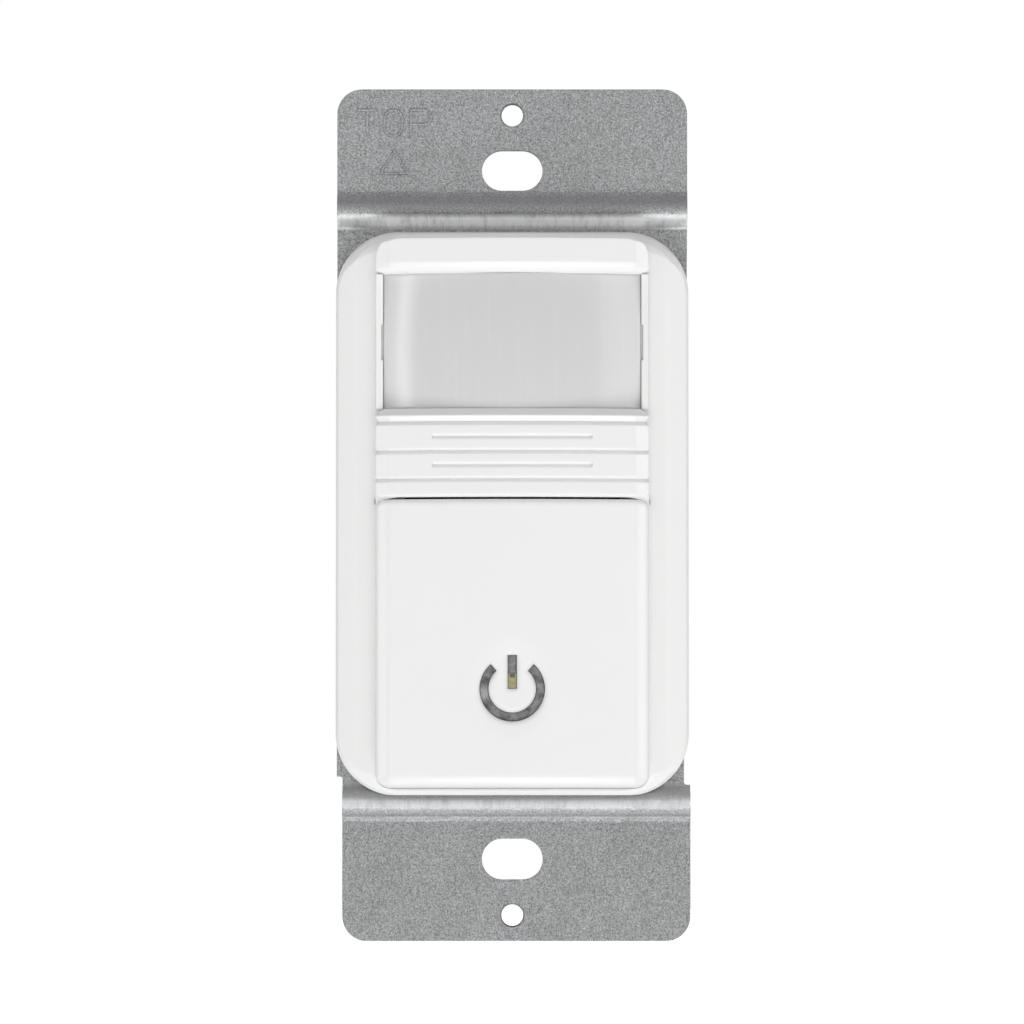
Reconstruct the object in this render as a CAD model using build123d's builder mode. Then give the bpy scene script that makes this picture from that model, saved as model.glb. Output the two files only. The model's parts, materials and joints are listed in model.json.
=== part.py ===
from build123d import *
import os
from math import asin, cos, degrees, radians, sin, sqrt

# Motion sensor light switch. Sizes are in millimetres. X runs to the right, Z up and Y into the
# wall, so a "front" is a distance ahead of the wall plane, on the side of negative Y. The origin
# lies on the wall plane, midway between the two wall-box slots.

os.makedirs("parts", exist_ok=True)

# Wall box standard
slot_spacing = 83.34
slot_length = 7.35
slot_width = 4.9
plate_hole_spacing = 96.84
plate_hole_diameter = 2.9

# Mounting strap
strap_thickness = 1.2
strap_end_margin = 3.13
strap_bend_radius = 1.25
ear_width = 42.4
ear_corner_radius = 3.0
lower_ear_trim = 0.4
lower_ear_shift = 0.49
waist_inset = 0.45
waist_notch_height = 31.7
waist_shoulder_height = 32.7
waist_notch_radius = 0.35
floor_front = 0.3
crest_front = 2.9
upper_bend_height = 39.0
upper_ridge_face = 2.2
upper_ridge_foot = 1.7
lower_bend_height = 36.8
lower_ridge_face = 2.05
lower_ridge_foot = 1.55
strap_window_margin = 3.2
strap_window_lift = 0.3
strap_window_bottom = -24.5
triangle_base = 3.3
triangle_height = 2.8
triangle_rise = 0.12
triangle_x = -14.3
triangle_foot_height = 41.3

# Front bezel
bezel_overhang = 0.1
bezel_top_gap = 1.05
bezel_bottom_lap = 0.85
bezel_corner_radius = 7.5
wing_front = 4.4
wing_bevel = 1.29
wing_ease = 0.47
wing_crest_inset = 4.5
wing_knee_inset = 2.2
wing_knee_drop = 0.32
wing_side_drop = 1.15
ridge_clearance = 0.7
bezel_wall = 1.5

# Crowned block that fills the opening of a wall plate
wing_width = 4.85
block_side_front = 7.0
block_shoulder_front = 8.0
block_crown_front = 9.3
block_bevel = 1.6
block_root_front = 2.0
block_top_inset = 0.6
block_corner_radius = 2.9
block_top_bevel = 0.6

# Lens window
top_rail_height = 4.75
window_bottom = 12.4
window_roll_bevel = 0.94
window_roll_ease = 0.34
cheek_front = 6.7
cheek_thickness = 0.9
cheek_bevel = 0.35
lens_pocket_rise = 1.5
lens_pocket_drop = 1.4
lens_flange_front = 5.6
lens_flange_thickness = 1.0
lens_gap = 0.1
lens_wall = 0.8
lens_inner_flat_count = 6
lens_front = 8.9
lens_sweep_radius = 47.0
lens_rise_radius = 48.0
lens_tab_height = 4.1
lens_tab_drop = 0.1
lens_tab_reach = 0.15
lens_notch_depth = 0.2

# Grooved band below the lens
band_groove_shares = (0.157, 0.479, 0.796)
band_bottom = 1.72
groove_depth = 0.38
groove_upper = 0.3
groove_lower = 0.34
sill_drop = 0.85
sill_depth = 0.95
brow_drop = 0.72
brow_depth = 0.45
lip_drop = 0.36
short_groove_length = 19.2
short_groove_width = 0.6
short_groove_depth = 0.3
band_web = 0.9

# Paddle
paddle_gap = 0.27
paddle_side_gap = 0.12
paddle_bottom = -33.15
paddle_bottom_gap = 0.2
paddle_side_inset = 0.03
paddle_wall = 1.4
paddle_bottom_bevel = 0.94
paddle_bottom_ease = 0.34
paddle_top_corner = 1.0
paddle_bottom_corner = 1.7
paddle_top_bevel = 0.25
paddle_back = 2.2
dish_height = 11.8
dish_depth = 0.4

# Standby symbol in the paddle
icon_height = -21.3
icon_outer_radius = 3.93
icon_inner_radius = 2.85
icon_gap_angle = 41.0
icon_bar_width = 1.12
icon_bar_top = -17.25
light_clearance = 0.04

# Paddle hinge
pivot_front = 3.6
pivot_height = 3.9
pivot_pin_radius = 1.1
pivot_clearance = 0.05
pivot_pin_length = 1.0
pivot_bore_depth = 1.0
arm_half = 1.6
arm_thickness = 1.65
arm_side_gap = 0.3

# Control board and what is on it
board_thickness = 1.6
control_board_front = -6.0
control_board_rise = 0.8
control_board_bottom = -27.0
switch_height = -12.7
switch_size = 6.0
switch_body_rise = 3.5
switch_cover_thickness = 0.3
switch_plunger_radius = 1.75
switch_plunger_rise = 1.7
switch_plunger_depth = 1.0
switch_plunger_clearance = 0.06
switch_flange_size = 4.0
switch_flange_gap = 0.02
switch_well_spare = 0.6
switch_contact_gap = 0.05
post_size = 3.0
led_width = 1.6
led_height = 2.0
led_rise = 0.8
led_z = -20.4

# Light pipe behind the paddle
pad_front = 7.3
pad_width = 14.0
pad_height = 11.0
pipe_plate_width = 13.4
pipe_plate_height = 10.4
pipe_plate_thickness = 1.1
pipe_riser_front = 8.86
pipe_stem_top = -19.5
pipe_stem_end = -4.2
peg_size = 1.3
peg_clearance = 0.05
peg_spread = 5.6
peg_length = 1.5

# Rear housing
housing_inset = 0.7
housing_height = 63.4
housing_back = -29.5
housing_wall = 1.6
housing_back_wall = 1.8
housing_corner_radius = 2.6
housing_edge_bevel = 0.8
screw_inset = 2.4
screw_drop = 5.85
screw_radius = 1.05
screw_clearance = 0.03
screw_shank_room = 0.25
screw_head_radius = 1.8
screw_head_height = 1.4
screw_head_room = 0.15
screw_well_depth = 2.2
screw_bite = 2.8
pillar_reach = 2.6

# Terminal recesses in the sides of the housing
terminal_spacing = 24.0
recess_half_height = 5.0
recess_depth = 4.4
recess_front = -9.6
recess_back = -22.0
recess_cover = 0.2
recess_block_wall = 1.2
recess_block_back = -24.0
terminal_thickness = 0.8
terminal_margin = 0.4
terminal_tail_width = 3.0
terminal_tail_room = 0.15
terminal_screw_front = -14.4
terminal_screw_radius = 1.7
terminal_screw_room = 0.06
terminal_screw_bite = 4.0
terminal_head_radius = 3.2
terminal_head_height = 1.7
terminal_slot_width = 1.0
terminal_slot_depth = 0.8

# Power board and what is on it
power_board_front = -25.0
power_board_room = 0.5
power_board_waist_drop = 5.2
pillar_room = 0.1
power_board_half_height = 29.0
standoff_size = 4.0
standoff_inset = 4.5
standoff_drop = 2.2
lead_size = 0.7
lead_hole_size = 1.0
lead_stick_out = 0.7

# Mains parts: widths and places across are shares of the room between the recess blocks, and
# each lead place is a share of its part's own width and length
mains_edge_bevel = 0.4
relay_place_share = -0.246
relay_width_share = 0.433
relay_length = 18.6
relay_rise = 15.2
relay_lead_shares = ((-0.37, -0.41), (0.37, -0.41), (0.0, 0.16), (-0.37, 0.41), (0.37, 0.41))
film_place_share = 0.246
film_width_share = 0.358
film_length = 18.0
film_rise = 15.0
film_lead_spacing = 15.0
drum_place_share = -0.28
drum_drop = 5.8
drum_radius = 5.0
drum_rise = 14.0
drum_lead_spacing = 5.0
disc_place_share = 0.3
disc_drop = 6.7
disc_radius = 4.5
disc_thickness = 4.0
disc_lift = 1.2
disc_lead_spacing = 5.0
fuse_z = -27.2
fuse_radius = 1.6
fuse_length_share = 0.645
fuse_lift = 0.4
fuse_lead_room = 2.8
diode_count = 4
diode_place_share = 0.154
diode_z = -15.3
diode_pitch_share = 0.125
diode_width_share = 0.1
diode_length = 4.4
diode_rise = 1.9
diode_lift = 0.2
diode_tab_share = 0.58
diode_tab_reach = 0.5
diode_tab_thickness = 0.3

# Plug connection between the boards
header_z = -22.0
header_count = 6
header_pitch = 2.54
header_pin_size = 0.64
header_pin_room = 0.08
header_body_rise = 2.5
header_body_width = 2.5
socket_length = 8.0
socket_wall = 0.8
header_overlap = 6.0

# Detector behind the lens
spacer_size = 11.0
spacer_thickness = 1.5
detector_flange_radius = 4.6
detector_flange_thickness = 0.5
detector_can_radius = 4.15
detector_can_height = 3.7
detector_window_width = 4.0
detector_window_height = 3.0
detector_window_depth = 0.5
detector_window_gap = 0.05
detector_lead_circle = 2.54
detector_lead_angles = (-45.0, 135.0, 225.0)
detector_lead_size = 0.45
detector_lead_hole = 0.7
detector_lead_end = -8.8
daylight_place_share = 0.69
daylight_radius = 1.5
daylight_rise = 3.4

# Chips on the control board
chip_place_share = -0.555
chip_z = 2.0
chip_width = 6.0
chip_length = 10.0
chip_rise = 1.5
chip_leg_count = 7
chip_leg_pitch = 1.27
chip_leg_width = 0.42
chip_leg_reach = 1.1
chip_leg_thickness = 0.25
chip_leg_lift = 0.2
small_part_place_share = 0.477
small_part_z = 1.5
small_part_length = 2.0
small_part_width = 1.2
small_part_rise = 0.6
small_part_column_pitch = 3.4
small_part_row_pitch = 3.0
small_part_columns = 3
small_part_rows = 4
board_screw_inset = 1.9
board_screw_radius = 0.85
board_screw_length = 5.0
board_screw_head_radius = 1.5
board_screw_head_height = 1.0
screw_slot_share = 0.22
screw_slot_depth_share = 0.45
screw_cross_share = 0.67

# Shanks, leads and holes that nothing shows have flat sides, to keep the facets few
hidden_side_count = 8

level_tolerance = 0.01
overrun = 5.0

# Sizes that follow from the ones above
strap_back = floor_front - strap_thickness
strap_height = plate_hole_spacing + 2 * strap_end_margin
upper_crest_height = upper_bend_height - upper_ridge_face
upper_floor_height = upper_crest_height - upper_ridge_foot
lower_crest_height = lower_bend_height - lower_ridge_face
lower_floor_height = lower_crest_height - lower_ridge_foot
lower_ear_width = ear_width - lower_ear_trim
waist_right = ear_width / 2 - waist_inset
bezel_width = ear_width + 2 * bezel_overhang
bezel_top = upper_floor_height - bezel_top_gap
bezel_bottom = -lower_floor_height - bezel_bottom_lap
bezel_height = bezel_top - bezel_bottom
block_top = bezel_top - block_top_inset
window_top = block_top - top_rail_height
lens_pocket_top = window_top + lens_pocket_rise
lens_pocket_bottom = window_bottom - lens_pocket_drop
lens_height = window_top - window_bottom
lens_mid = (window_top + window_bottom) / 2
lens_tab_z = lens_mid - lens_tab_drop
sensor_height = lens_mid
strap_window_top = window_top + strap_window_lift
control_board_top = window_top + control_board_rise
block_half = bezel_width / 2 - wing_width
block_width = 2 * block_half
housing_width = bezel_width - 2 * housing_inset
screw_x = housing_width / 2 - screw_inset
screw_z = bezel_top - screw_drop
power_board_waist_height = screw_z - power_board_waist_drop
standoff_z = screw_z - standoff_drop
drum_z = screw_z - drum_drop
disc_z = screw_z - disc_drop
strap_window_width = 2 * (screw_x - strap_window_margin)
recess_floor_x = housing_width / 2 - recess_depth
recess_block_x = recess_floor_x - terminal_screw_bite - recess_cover
power_board_half_width = housing_width / 2 - housing_wall - power_board_room
power_board_end_half_width = screw_x - pillar_reach - pillar_room
standoff_x = power_board_end_half_width - standoff_inset
fuse_lead_spacing = 2 * (standoff_x - standoff_size / 2 - fuse_lead_room)
fuse_length = fuse_length_share * fuse_lead_spacing
control_board_width = 2 * power_board_end_half_width
board_screw_x = recess_block_x + board_screw_inset
mains_room = 2 * recess_block_x
relay_x = relay_place_share * mains_room
relay_width = relay_width_share * mains_room
film_x = film_place_share * mains_room
film_width = film_width_share * mains_room
drum_x = drum_place_share * mains_room
disc_x = disc_place_share * mains_room
diode_x = diode_place_share * mains_room
diode_pitch = diode_pitch_share * mains_room
diode_width = diode_width_share * mains_room
diode_tab_width = diode_tab_share * diode_width
daylight_x = daylight_place_share * power_board_end_half_width
chip_x = chip_place_share * power_board_end_half_width
small_part_x = small_part_place_share * power_board_end_half_width
paddle_half = block_half - paddle_side_inset
paddle_top = band_bottom - paddle_gap
crown_sagitta = block_crown_front - block_shoulder_front
crown_half_chord = block_half - block_bevel
crown_radius = (crown_half_chord**2 + crown_sagitta**2) / (2 * crown_sagitta)
cheek_inner_x = block_half - cheek_thickness
cavity_half = block_half - bezel_wall
control_board_back = control_board_front - board_thickness
power_board_back = power_board_front - board_thickness
switch_body_front = control_board_front + switch_body_rise
switch_plunger_front = switch_body_front + switch_plunger_rise
screw_places = [(x, z) for x in (-screw_x, screw_x) for z in (-screw_z, screw_z)]
terminal_heights = (terminal_spacing / 2, -terminal_spacing / 2)
board_screw_places = [(-board_screw_x, terminal_heights[0]), (board_screw_x, terminal_heights[1])]
band_height = window_bottom - band_bottom
groove_heights = [window_bottom - share * band_height for share in band_groove_shares]


def wall_plane(front):
    """Plane parallel to the wall at this front: sketch X is to the right and sketch Y is up."""
    return Plane.XZ.offset(front)


def level_plane(height):
    """Horizontal plane at this height: sketch X is to the right and sketch Y is into the wall."""
    return Plane.XY.offset(height)


def side_plane(across):
    """Upright plane square to the wall: sketch X is into the wall and sketch Y is up."""
    return Plane.YZ.offset(across)


def hidden_round(radius):
    """Outline of a shank, lead or hole that nothing shows: eight sides in place of a circle."""
    with BuildSketch() as outline:
        RegularPolygon(radius=radius, side_count=hidden_side_count)
    return outline.sketch


def runs_level(edge):
    """True for an edge that stays at one height."""
    return edge.bounding_box().size.Z < level_tolerance


def crowned_section(half_width, root_front, inset):
    """Level section of the crowned block, moved inward all round but at its root."""
    half = half_width - inset
    shoulder = half_width - block_bevel - inset
    with BuildSketch() as section:
        with BuildLine():
            Polyline(
                (-shoulder, inset - block_shoulder_front),
                (-half, inset - block_side_front),
                (-half, -root_front),
                (half, -root_front),
                (half, inset - block_side_front),
                (shoulder, inset - block_shoulder_front),
            )
            ThreePointArc(
                (-shoulder, inset - block_shoulder_front),
                (0, inset - block_crown_front),
                (shoulder, inset - block_shoulder_front),
            )
        make_face()
    return section.sketch


def groove_band(bottom, top, upper_drop, upper_depth, lower_drop, lower_depth):
    """One band of the ribbed front, with a slope at its top and one at its bottom."""
    with BuildPart() as band:
        with BuildSketch(level_plane(bottom)):
            add(crowned_section(block_half, block_root_front, 0))
        extrude(amount=top - bottom)
        roof = band.faces().sort_by(Axis.Z)[-1]
        chamfer(roof.edges(), length=upper_depth, length2=upper_drop, reference=roof)
        underside = band.faces().sort_by(Axis.Z)[0]
        chamfer(underside.edges(), length=lower_depth, length2=lower_drop, reference=underside)
    return band.part


def icon_outline(clearance):
    """The open ring and the bar of the standby symbol, each drawn in by a clearance."""
    reach = icon_outer_radius / cos(radians(icon_gap_angle))
    half_gap = reach * sin(radians(icon_gap_angle))
    bar_height = icon_bar_top - icon_height
    with BuildSketch() as outline:
        Circle(icon_outer_radius)
        Circle(icon_inner_radius, mode=Mode.SUBTRACT)
        with BuildLine():
            Polyline((0, 0), (half_gap, icon_outer_radius), (-half_gap, icon_outer_radius), (0, 0))
        make_face(mode=Mode.SUBTRACT)
        with Locations((0, bar_height / 2)):
            Rectangle(icon_bar_width, bar_height)
        if clearance > 0:
            offset(amount=-clearance)
    return outline.sketch


# Mounting strap: one folded sheet, cut to the outline of the two ears and the waist
with BuildPart() as mounting_strap:
    half_sheet = strap_thickness / 2
    ear_line = half_sheet - strap_thickness
    floor_line = half_sheet - floor_front
    crest_line = half_sheet - crest_front
    with BuildSketch(side_plane(0)):
        with BuildLine():
            FilletPolyline(
                (ear_line, strap_height / 2),
                (ear_line, upper_bend_height),
                (crest_line, upper_crest_height),
                (floor_line, upper_floor_height),
                (floor_line, -lower_floor_height),
                (crest_line, -lower_crest_height),
                (ear_line, -lower_bend_height),
                (ear_line, -strap_height / 2),
                radius=strap_bend_radius,
            )
        trace(line_width=strap_thickness)
    extrude(amount=ear_width, both=True)
    with BuildSketch(wall_plane(-overrun)) as blank:
        lower_left = lower_ear_shift - lower_ear_width / 2
        lower_right = lower_ear_shift + lower_ear_width / 2
        with BuildLine():
            Polyline(
                (-ear_width / 2, strap_height / 2),
                (ear_width / 2, strap_height / 2),
                (ear_width / 2, upper_floor_height),
                (waist_right, -waist_notch_height),
                (waist_right, -waist_shoulder_height),
                (lower_right, -waist_shoulder_height),
                (lower_right, -strap_height / 2),
                (lower_left, -strap_height / 2),
                (lower_left, -waist_notch_height),
                (-ear_width / 2, -waist_notch_height),
                (-ear_width / 2, strap_height / 2),
            )
        make_face()
        corners = blank.vertices().group_by(Axis.Y)
        fillet(corners[0] + corners[-1], radius=ear_corner_radius)
        notch_points = [
            Vector(lower_left, -waist_notch_height),
            Vector(waist_right, -waist_shoulder_height),
        ]
        notches = [blank.vertices().sort_by_distance(point)[0] for point in notch_points]
        fillet(notches, radius=waist_notch_radius)
    extrude(amount=2 * overrun + crest_front, mode=Mode.INTERSECT)
    with BuildSketch(wall_plane(-overrun)):
        with Locations((0, slot_spacing / 2), (0, -slot_spacing / 2)):
            SlotOverall(slot_length, slot_width)
        with Locations((0, plate_hole_spacing / 2), (0, -plate_hole_spacing / 2)):
            Circle(plate_hole_diameter / 2)
        with Locations(*screw_places):
            add(hidden_round(screw_radius + screw_shank_room))
        with Locations((0, (strap_window_top + strap_window_bottom) / 2)):
            Rectangle(strap_window_width, strap_window_top - strap_window_bottom)
    extrude(amount=2 * overrun + crest_front, mode=Mode.SUBTRACT)
    with BuildSketch(wall_plane(strap_thickness)):
        with BuildLine(Location((triangle_x, triangle_foot_height))):
            Polyline(
                (-triangle_base / 2, 0),
                (triangle_base / 2, 0),
                (0, triangle_height),
                (-triangle_base / 2, 0),
            )
        make_face()
    extrude(amount=triangle_rise)
mounting_strap.part.label = "mounting_strap"
export_step(mounting_strap.part, "parts/mounting_strap.step")

# Front bezel: the bands of the ribbed front and the top rail are shaped first
band_edges = [window_bottom] + groove_heights + [band_bottom]
bands = [groove_band(band_edges[1], band_edges[0], sill_drop, sill_depth, brow_drop, brow_depth)]
for upper, lower in zip(band_edges[1:-1], band_edges[2:]):
    last = lower == band_bottom
    bands.append(
        groove_band(
            lower,
            upper,
            groove_lower,
            groove_depth,
            lip_drop if last else groove_upper,
            groove_depth,
        )
    )

with BuildPart() as top_rail:
    with BuildSketch(level_plane(window_top)):
        add(crowned_section(block_half, block_root_front, 0))
    extrude(amount=block_top - window_top)
    with BuildSketch(wall_plane(0)) as rail_outline:
        with Locations((0, block_top - block_width / 2)):
            Rectangle(block_width, block_width)
        fillet(rail_outline.vertices().group_by(Axis.Y)[-1], radius=block_corner_radius)
    extrude(amount=block_crown_front + overrun, mode=Mode.INTERSECT)
    underside = top_rail.faces().sort_by(Axis.Z)[0]
    roll_edges = underside.edges().filter_by(lambda e: e.center().Y < -block_side_front)
    chamfer(roll_edges, length=window_roll_bevel)
    chamfer(top_rail.edges(Select.LAST).filter_by(runs_level), length=window_roll_ease)
    crest_edges = (
        top_rail.edges()
        .filter_by(lambda e: e.center().Y < -block_shoulder_front)
        .group_by(Axis.Z)[-1]
    )
    chamfer(crest_edges, length=block_top_bevel)

with BuildPart() as front_bezel:
    # Wings and rim, with a rounded outer edge
    with BuildSketch(wall_plane(floor_front)):
        with Locations((0, (bezel_top + bezel_bottom) / 2)):
            RectangleRounded(bezel_width, bezel_height, bezel_corner_radius)
    extrude(amount=wing_front - floor_front)
    chamfer(front_bezel.faces().sort_by(Axis.Y)[0].edges(), length=wing_bevel)
    wing_rims = front_bezel.edges().group_by(Axis.Y)
    chamfer(wing_rims[0] + wing_rims[2], length=wing_ease)
    # Each wing falls away from the block in two slopes
    crest_x = bezel_width / 2 - wing_crest_inset
    knee_x = bezel_width / 2 - wing_knee_inset
    for side in (-1, 1):
        with BuildSketch(level_plane(-bezel_height)):
            with BuildLine():
                Polyline(
                    (side * crest_x, -wing_front),
                    (side * knee_x, wing_knee_drop - wing_front),
                    (side * bezel_width / 2, wing_side_drop - wing_front),
                    (side * bezel_width / 2, -wing_front - overrun),
                    (side * crest_x, -wing_front - overrun),
                    (side * crest_x, -wing_front),
                )
            make_face()
        extrude(amount=2 * bezel_height, mode=Mode.SUBTRACT)
    add(top_rail.part)
    for band in bands:
        add(band)
    # Low cheeks each side of the lens
    with BuildSketch(level_plane(window_bottom)):
        with BuildLine():
            Polyline(
                (-block_half, -block_root_front),
                (-block_half, -cheek_front),
                (-cheek_inner_x, cheek_bevel - cheek_front),
                (cheek_inner_x, cheek_bevel - cheek_front),
                (block_half, -cheek_front),
                (block_half, -block_root_front),
                (-block_half, -block_root_front),
            )
        make_face()
    extrude(amount=window_top - window_bottom)
    # Two short grooves that follow the crown
    crown_axis = Axis((0, crown_radius - block_crown_front, 0), (0, 0, 1))
    groove_sweep = 2 * degrees(asin(short_groove_length / 2 / crown_radius))
    for upper, lower in zip(groove_heights[:-1], groove_heights[1:]):
        groove_start = Plane(
            origin=(0, crown_radius - block_crown_front, (upper + lower) / 2),
            x_dir=(-sin(radians(groove_sweep / 2)), -cos(radians(groove_sweep / 2)), 0),
            z_dir=(cos(radians(groove_sweep / 2)), -sin(radians(groove_sweep / 2)), 0),
        )
        with BuildSketch(groove_start):
            with BuildLine(Location((crown_radius, 0))):
                Polyline(
                    (-short_groove_depth, 0),
                    (short_groove_depth, -short_groove_width),
                    (short_groove_depth, short_groove_width),
                    (-short_groove_depth, 0),
                )
            make_face()
        revolve(axis=crown_axis, revolution_arc=groove_sweep, mode=Mode.SUBTRACT)
    # Hollow behind the ribbed front, open below to the paddle
    with BuildSketch(level_plane(band_bottom - overrun)):
        add(crowned_section(block_half, floor_front - overrun, bezel_wall))
    extrude(
        amount=lens_pocket_bottom - band_web - band_bottom + overrun,
        mode=Mode.SUBTRACT,
    )
    # Seat for the lens flange, and the window
    with BuildSketch(wall_plane(floor_front - overrun)):
        with Locations((0, (lens_pocket_top + lens_pocket_bottom) / 2)):
            Rectangle(2 * cheek_inner_x, lens_pocket_top - lens_pocket_bottom)
    extrude(amount=lens_flange_front - floor_front + overrun, mode=Mode.SUBTRACT)
    with BuildSketch(wall_plane(floor_front)):
        with Locations((0, (window_top + window_bottom) / 2)):
            Rectangle(2 * cheek_inner_x, window_top - window_bottom)
    extrude(amount=block_crown_front + overrun, mode=Mode.SUBTRACT)
    # Notches for the lens tabs
    with BuildSketch(wall_plane(lens_flange_front - lens_flange_thickness)):
        with Locations((0, lens_tab_z)):
            Rectangle(2 * (cheek_inner_x + lens_notch_depth), lens_tab_height + 2 * lens_gap)
    extrude(amount=block_crown_front, mode=Mode.SUBTRACT)
    # Opening for the paddle
    opening_bottom = paddle_bottom - paddle_bottom_gap
    opening_half = paddle_half + paddle_side_gap
    with BuildSketch(wall_plane(floor_front - overrun)):
        with Locations((0, (band_bottom + opening_bottom) / 2)):
            RectangleRounded(
                2 * opening_half,
                band_bottom - opening_bottom,
                paddle_bottom_corner + paddle_side_gap,
            )
        with Locations((0, band_bottom - paddle_bottom_corner)):
            Rectangle(2 * opening_half, 2 * paddle_bottom_corner)
    extrude(amount=wing_front - floor_front + 2 * overrun, mode=Mode.SUBTRACT)
    # Bores for the paddle's hinge pins
    with BuildSketch(side_plane(-cavity_half - pivot_bore_depth)):
        with Locations((-pivot_front, pivot_height)):
            Circle(pivot_pin_radius + pivot_clearance)
    extrude(amount=2 * (cavity_half + pivot_bore_depth), mode=Mode.SUBTRACT)
    # Pilot holes for the housing screws
    with BuildSketch(wall_plane(floor_front)):
        with Locations(*screw_places):
            add(hidden_round(screw_radius + screw_clearance))
    extrude(amount=screw_bite, mode=Mode.SUBTRACT)
    # Relief that clears the strap's lower ridge
    with BuildSketch(side_plane(-bezel_width)):
        with BuildLine():
            Polyline(
                (overrun, -lower_floor_height + ridge_clearance + strap_bend_radius),
                (-floor_front, -lower_floor_height + ridge_clearance + strap_bend_radius),
                (-floor_front, -lower_floor_height + ridge_clearance),
                (-crest_front, -lower_crest_height + ridge_clearance),
                (-crest_front, -lower_crest_height - overrun),
                (overrun, -lower_crest_height - overrun),
                (overrun, -lower_floor_height + ridge_clearance + strap_bend_radius),
            )
        make_face()
    extrude(amount=2 * bezel_width, mode=Mode.SUBTRACT)
front_bezel.part.label = "front_bezel"
export_step(front_bezel.part, "parts/front_bezel.step")

# Lens: a barrel-shaped shell behind the window, with a flange and two snap tabs
lens_half = cheek_inner_x - lens_gap
flange_back = lens_flange_front - lens_flange_thickness


def barrel(front, flats):
    """Solid of revolution with its crest at this front, bulging along Z in an arc or in flats."""
    half_height = lens_height
    sagitta = lens_rise_radius - sqrt(lens_rise_radius**2 - half_height**2)
    axis_y = lens_sweep_radius - front
    with BuildPart() as solid:
        with BuildSketch(side_plane(0)):
            with BuildLine():
                Polyline(
                    (sagitta - front, lens_mid - half_height),
                    (axis_y, lens_mid - half_height),
                    (axis_y, lens_mid + half_height),
                    (sagitta - front, lens_mid + half_height),
                )
                bulge = ThreePointArc(
                    (sagitta - front, lens_mid - half_height),
                    (-front, lens_mid),
                    (sagitta - front, lens_mid + half_height),
                    mode=Mode.PRIVATE if flats else Mode.ADD,
                )
                if flats:
                    Polyline(*[bulge @ (place / flats) for place in range(flats + 1)])
            make_face()
        revolve(axis=Axis((0, axis_y, 0), (0, 0, 1)))
    return solid.part


outer_barrel = barrel(lens_front, 0)
inner_barrel = barrel(lens_front - lens_wall, lens_inner_flat_count)
with BuildPart() as lens_hollow:
    with BuildSketch(wall_plane(flange_back - overrun)):
        with Locations((0, lens_mid)):
            Rectangle(2 * (lens_half - lens_wall), lens_height - 2 * (lens_gap + lens_wall))
    extrude(amount=lens_front + overrun)
    add(inner_barrel, mode=Mode.INTERSECT)

with BuildPart() as pir_lens:
    with BuildSketch(wall_plane(flange_back)):
        with Locations((0, lens_mid)):
            Rectangle(2 * lens_half, lens_height - 2 * lens_gap)
    extrude(amount=lens_front)
    add(outer_barrel, mode=Mode.INTERSECT)
    with BuildSketch(wall_plane(flange_back)):
        with Locations((0, (lens_pocket_top + lens_pocket_bottom) / 2)):
            Rectangle(2 * lens_half, lens_pocket_top - lens_pocket_bottom - 2 * lens_gap)
        with Locations((0, lens_tab_z)):
            Rectangle(2 * (lens_half + lens_tab_reach), lens_tab_height)
    extrude(amount=lens_flange_thickness)
    add(lens_hollow.part, mode=Mode.SUBTRACT)
pir_lens.part.label = "pir_lens"
export_step(pir_lens.part, "parts/pir_lens.step")

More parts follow.
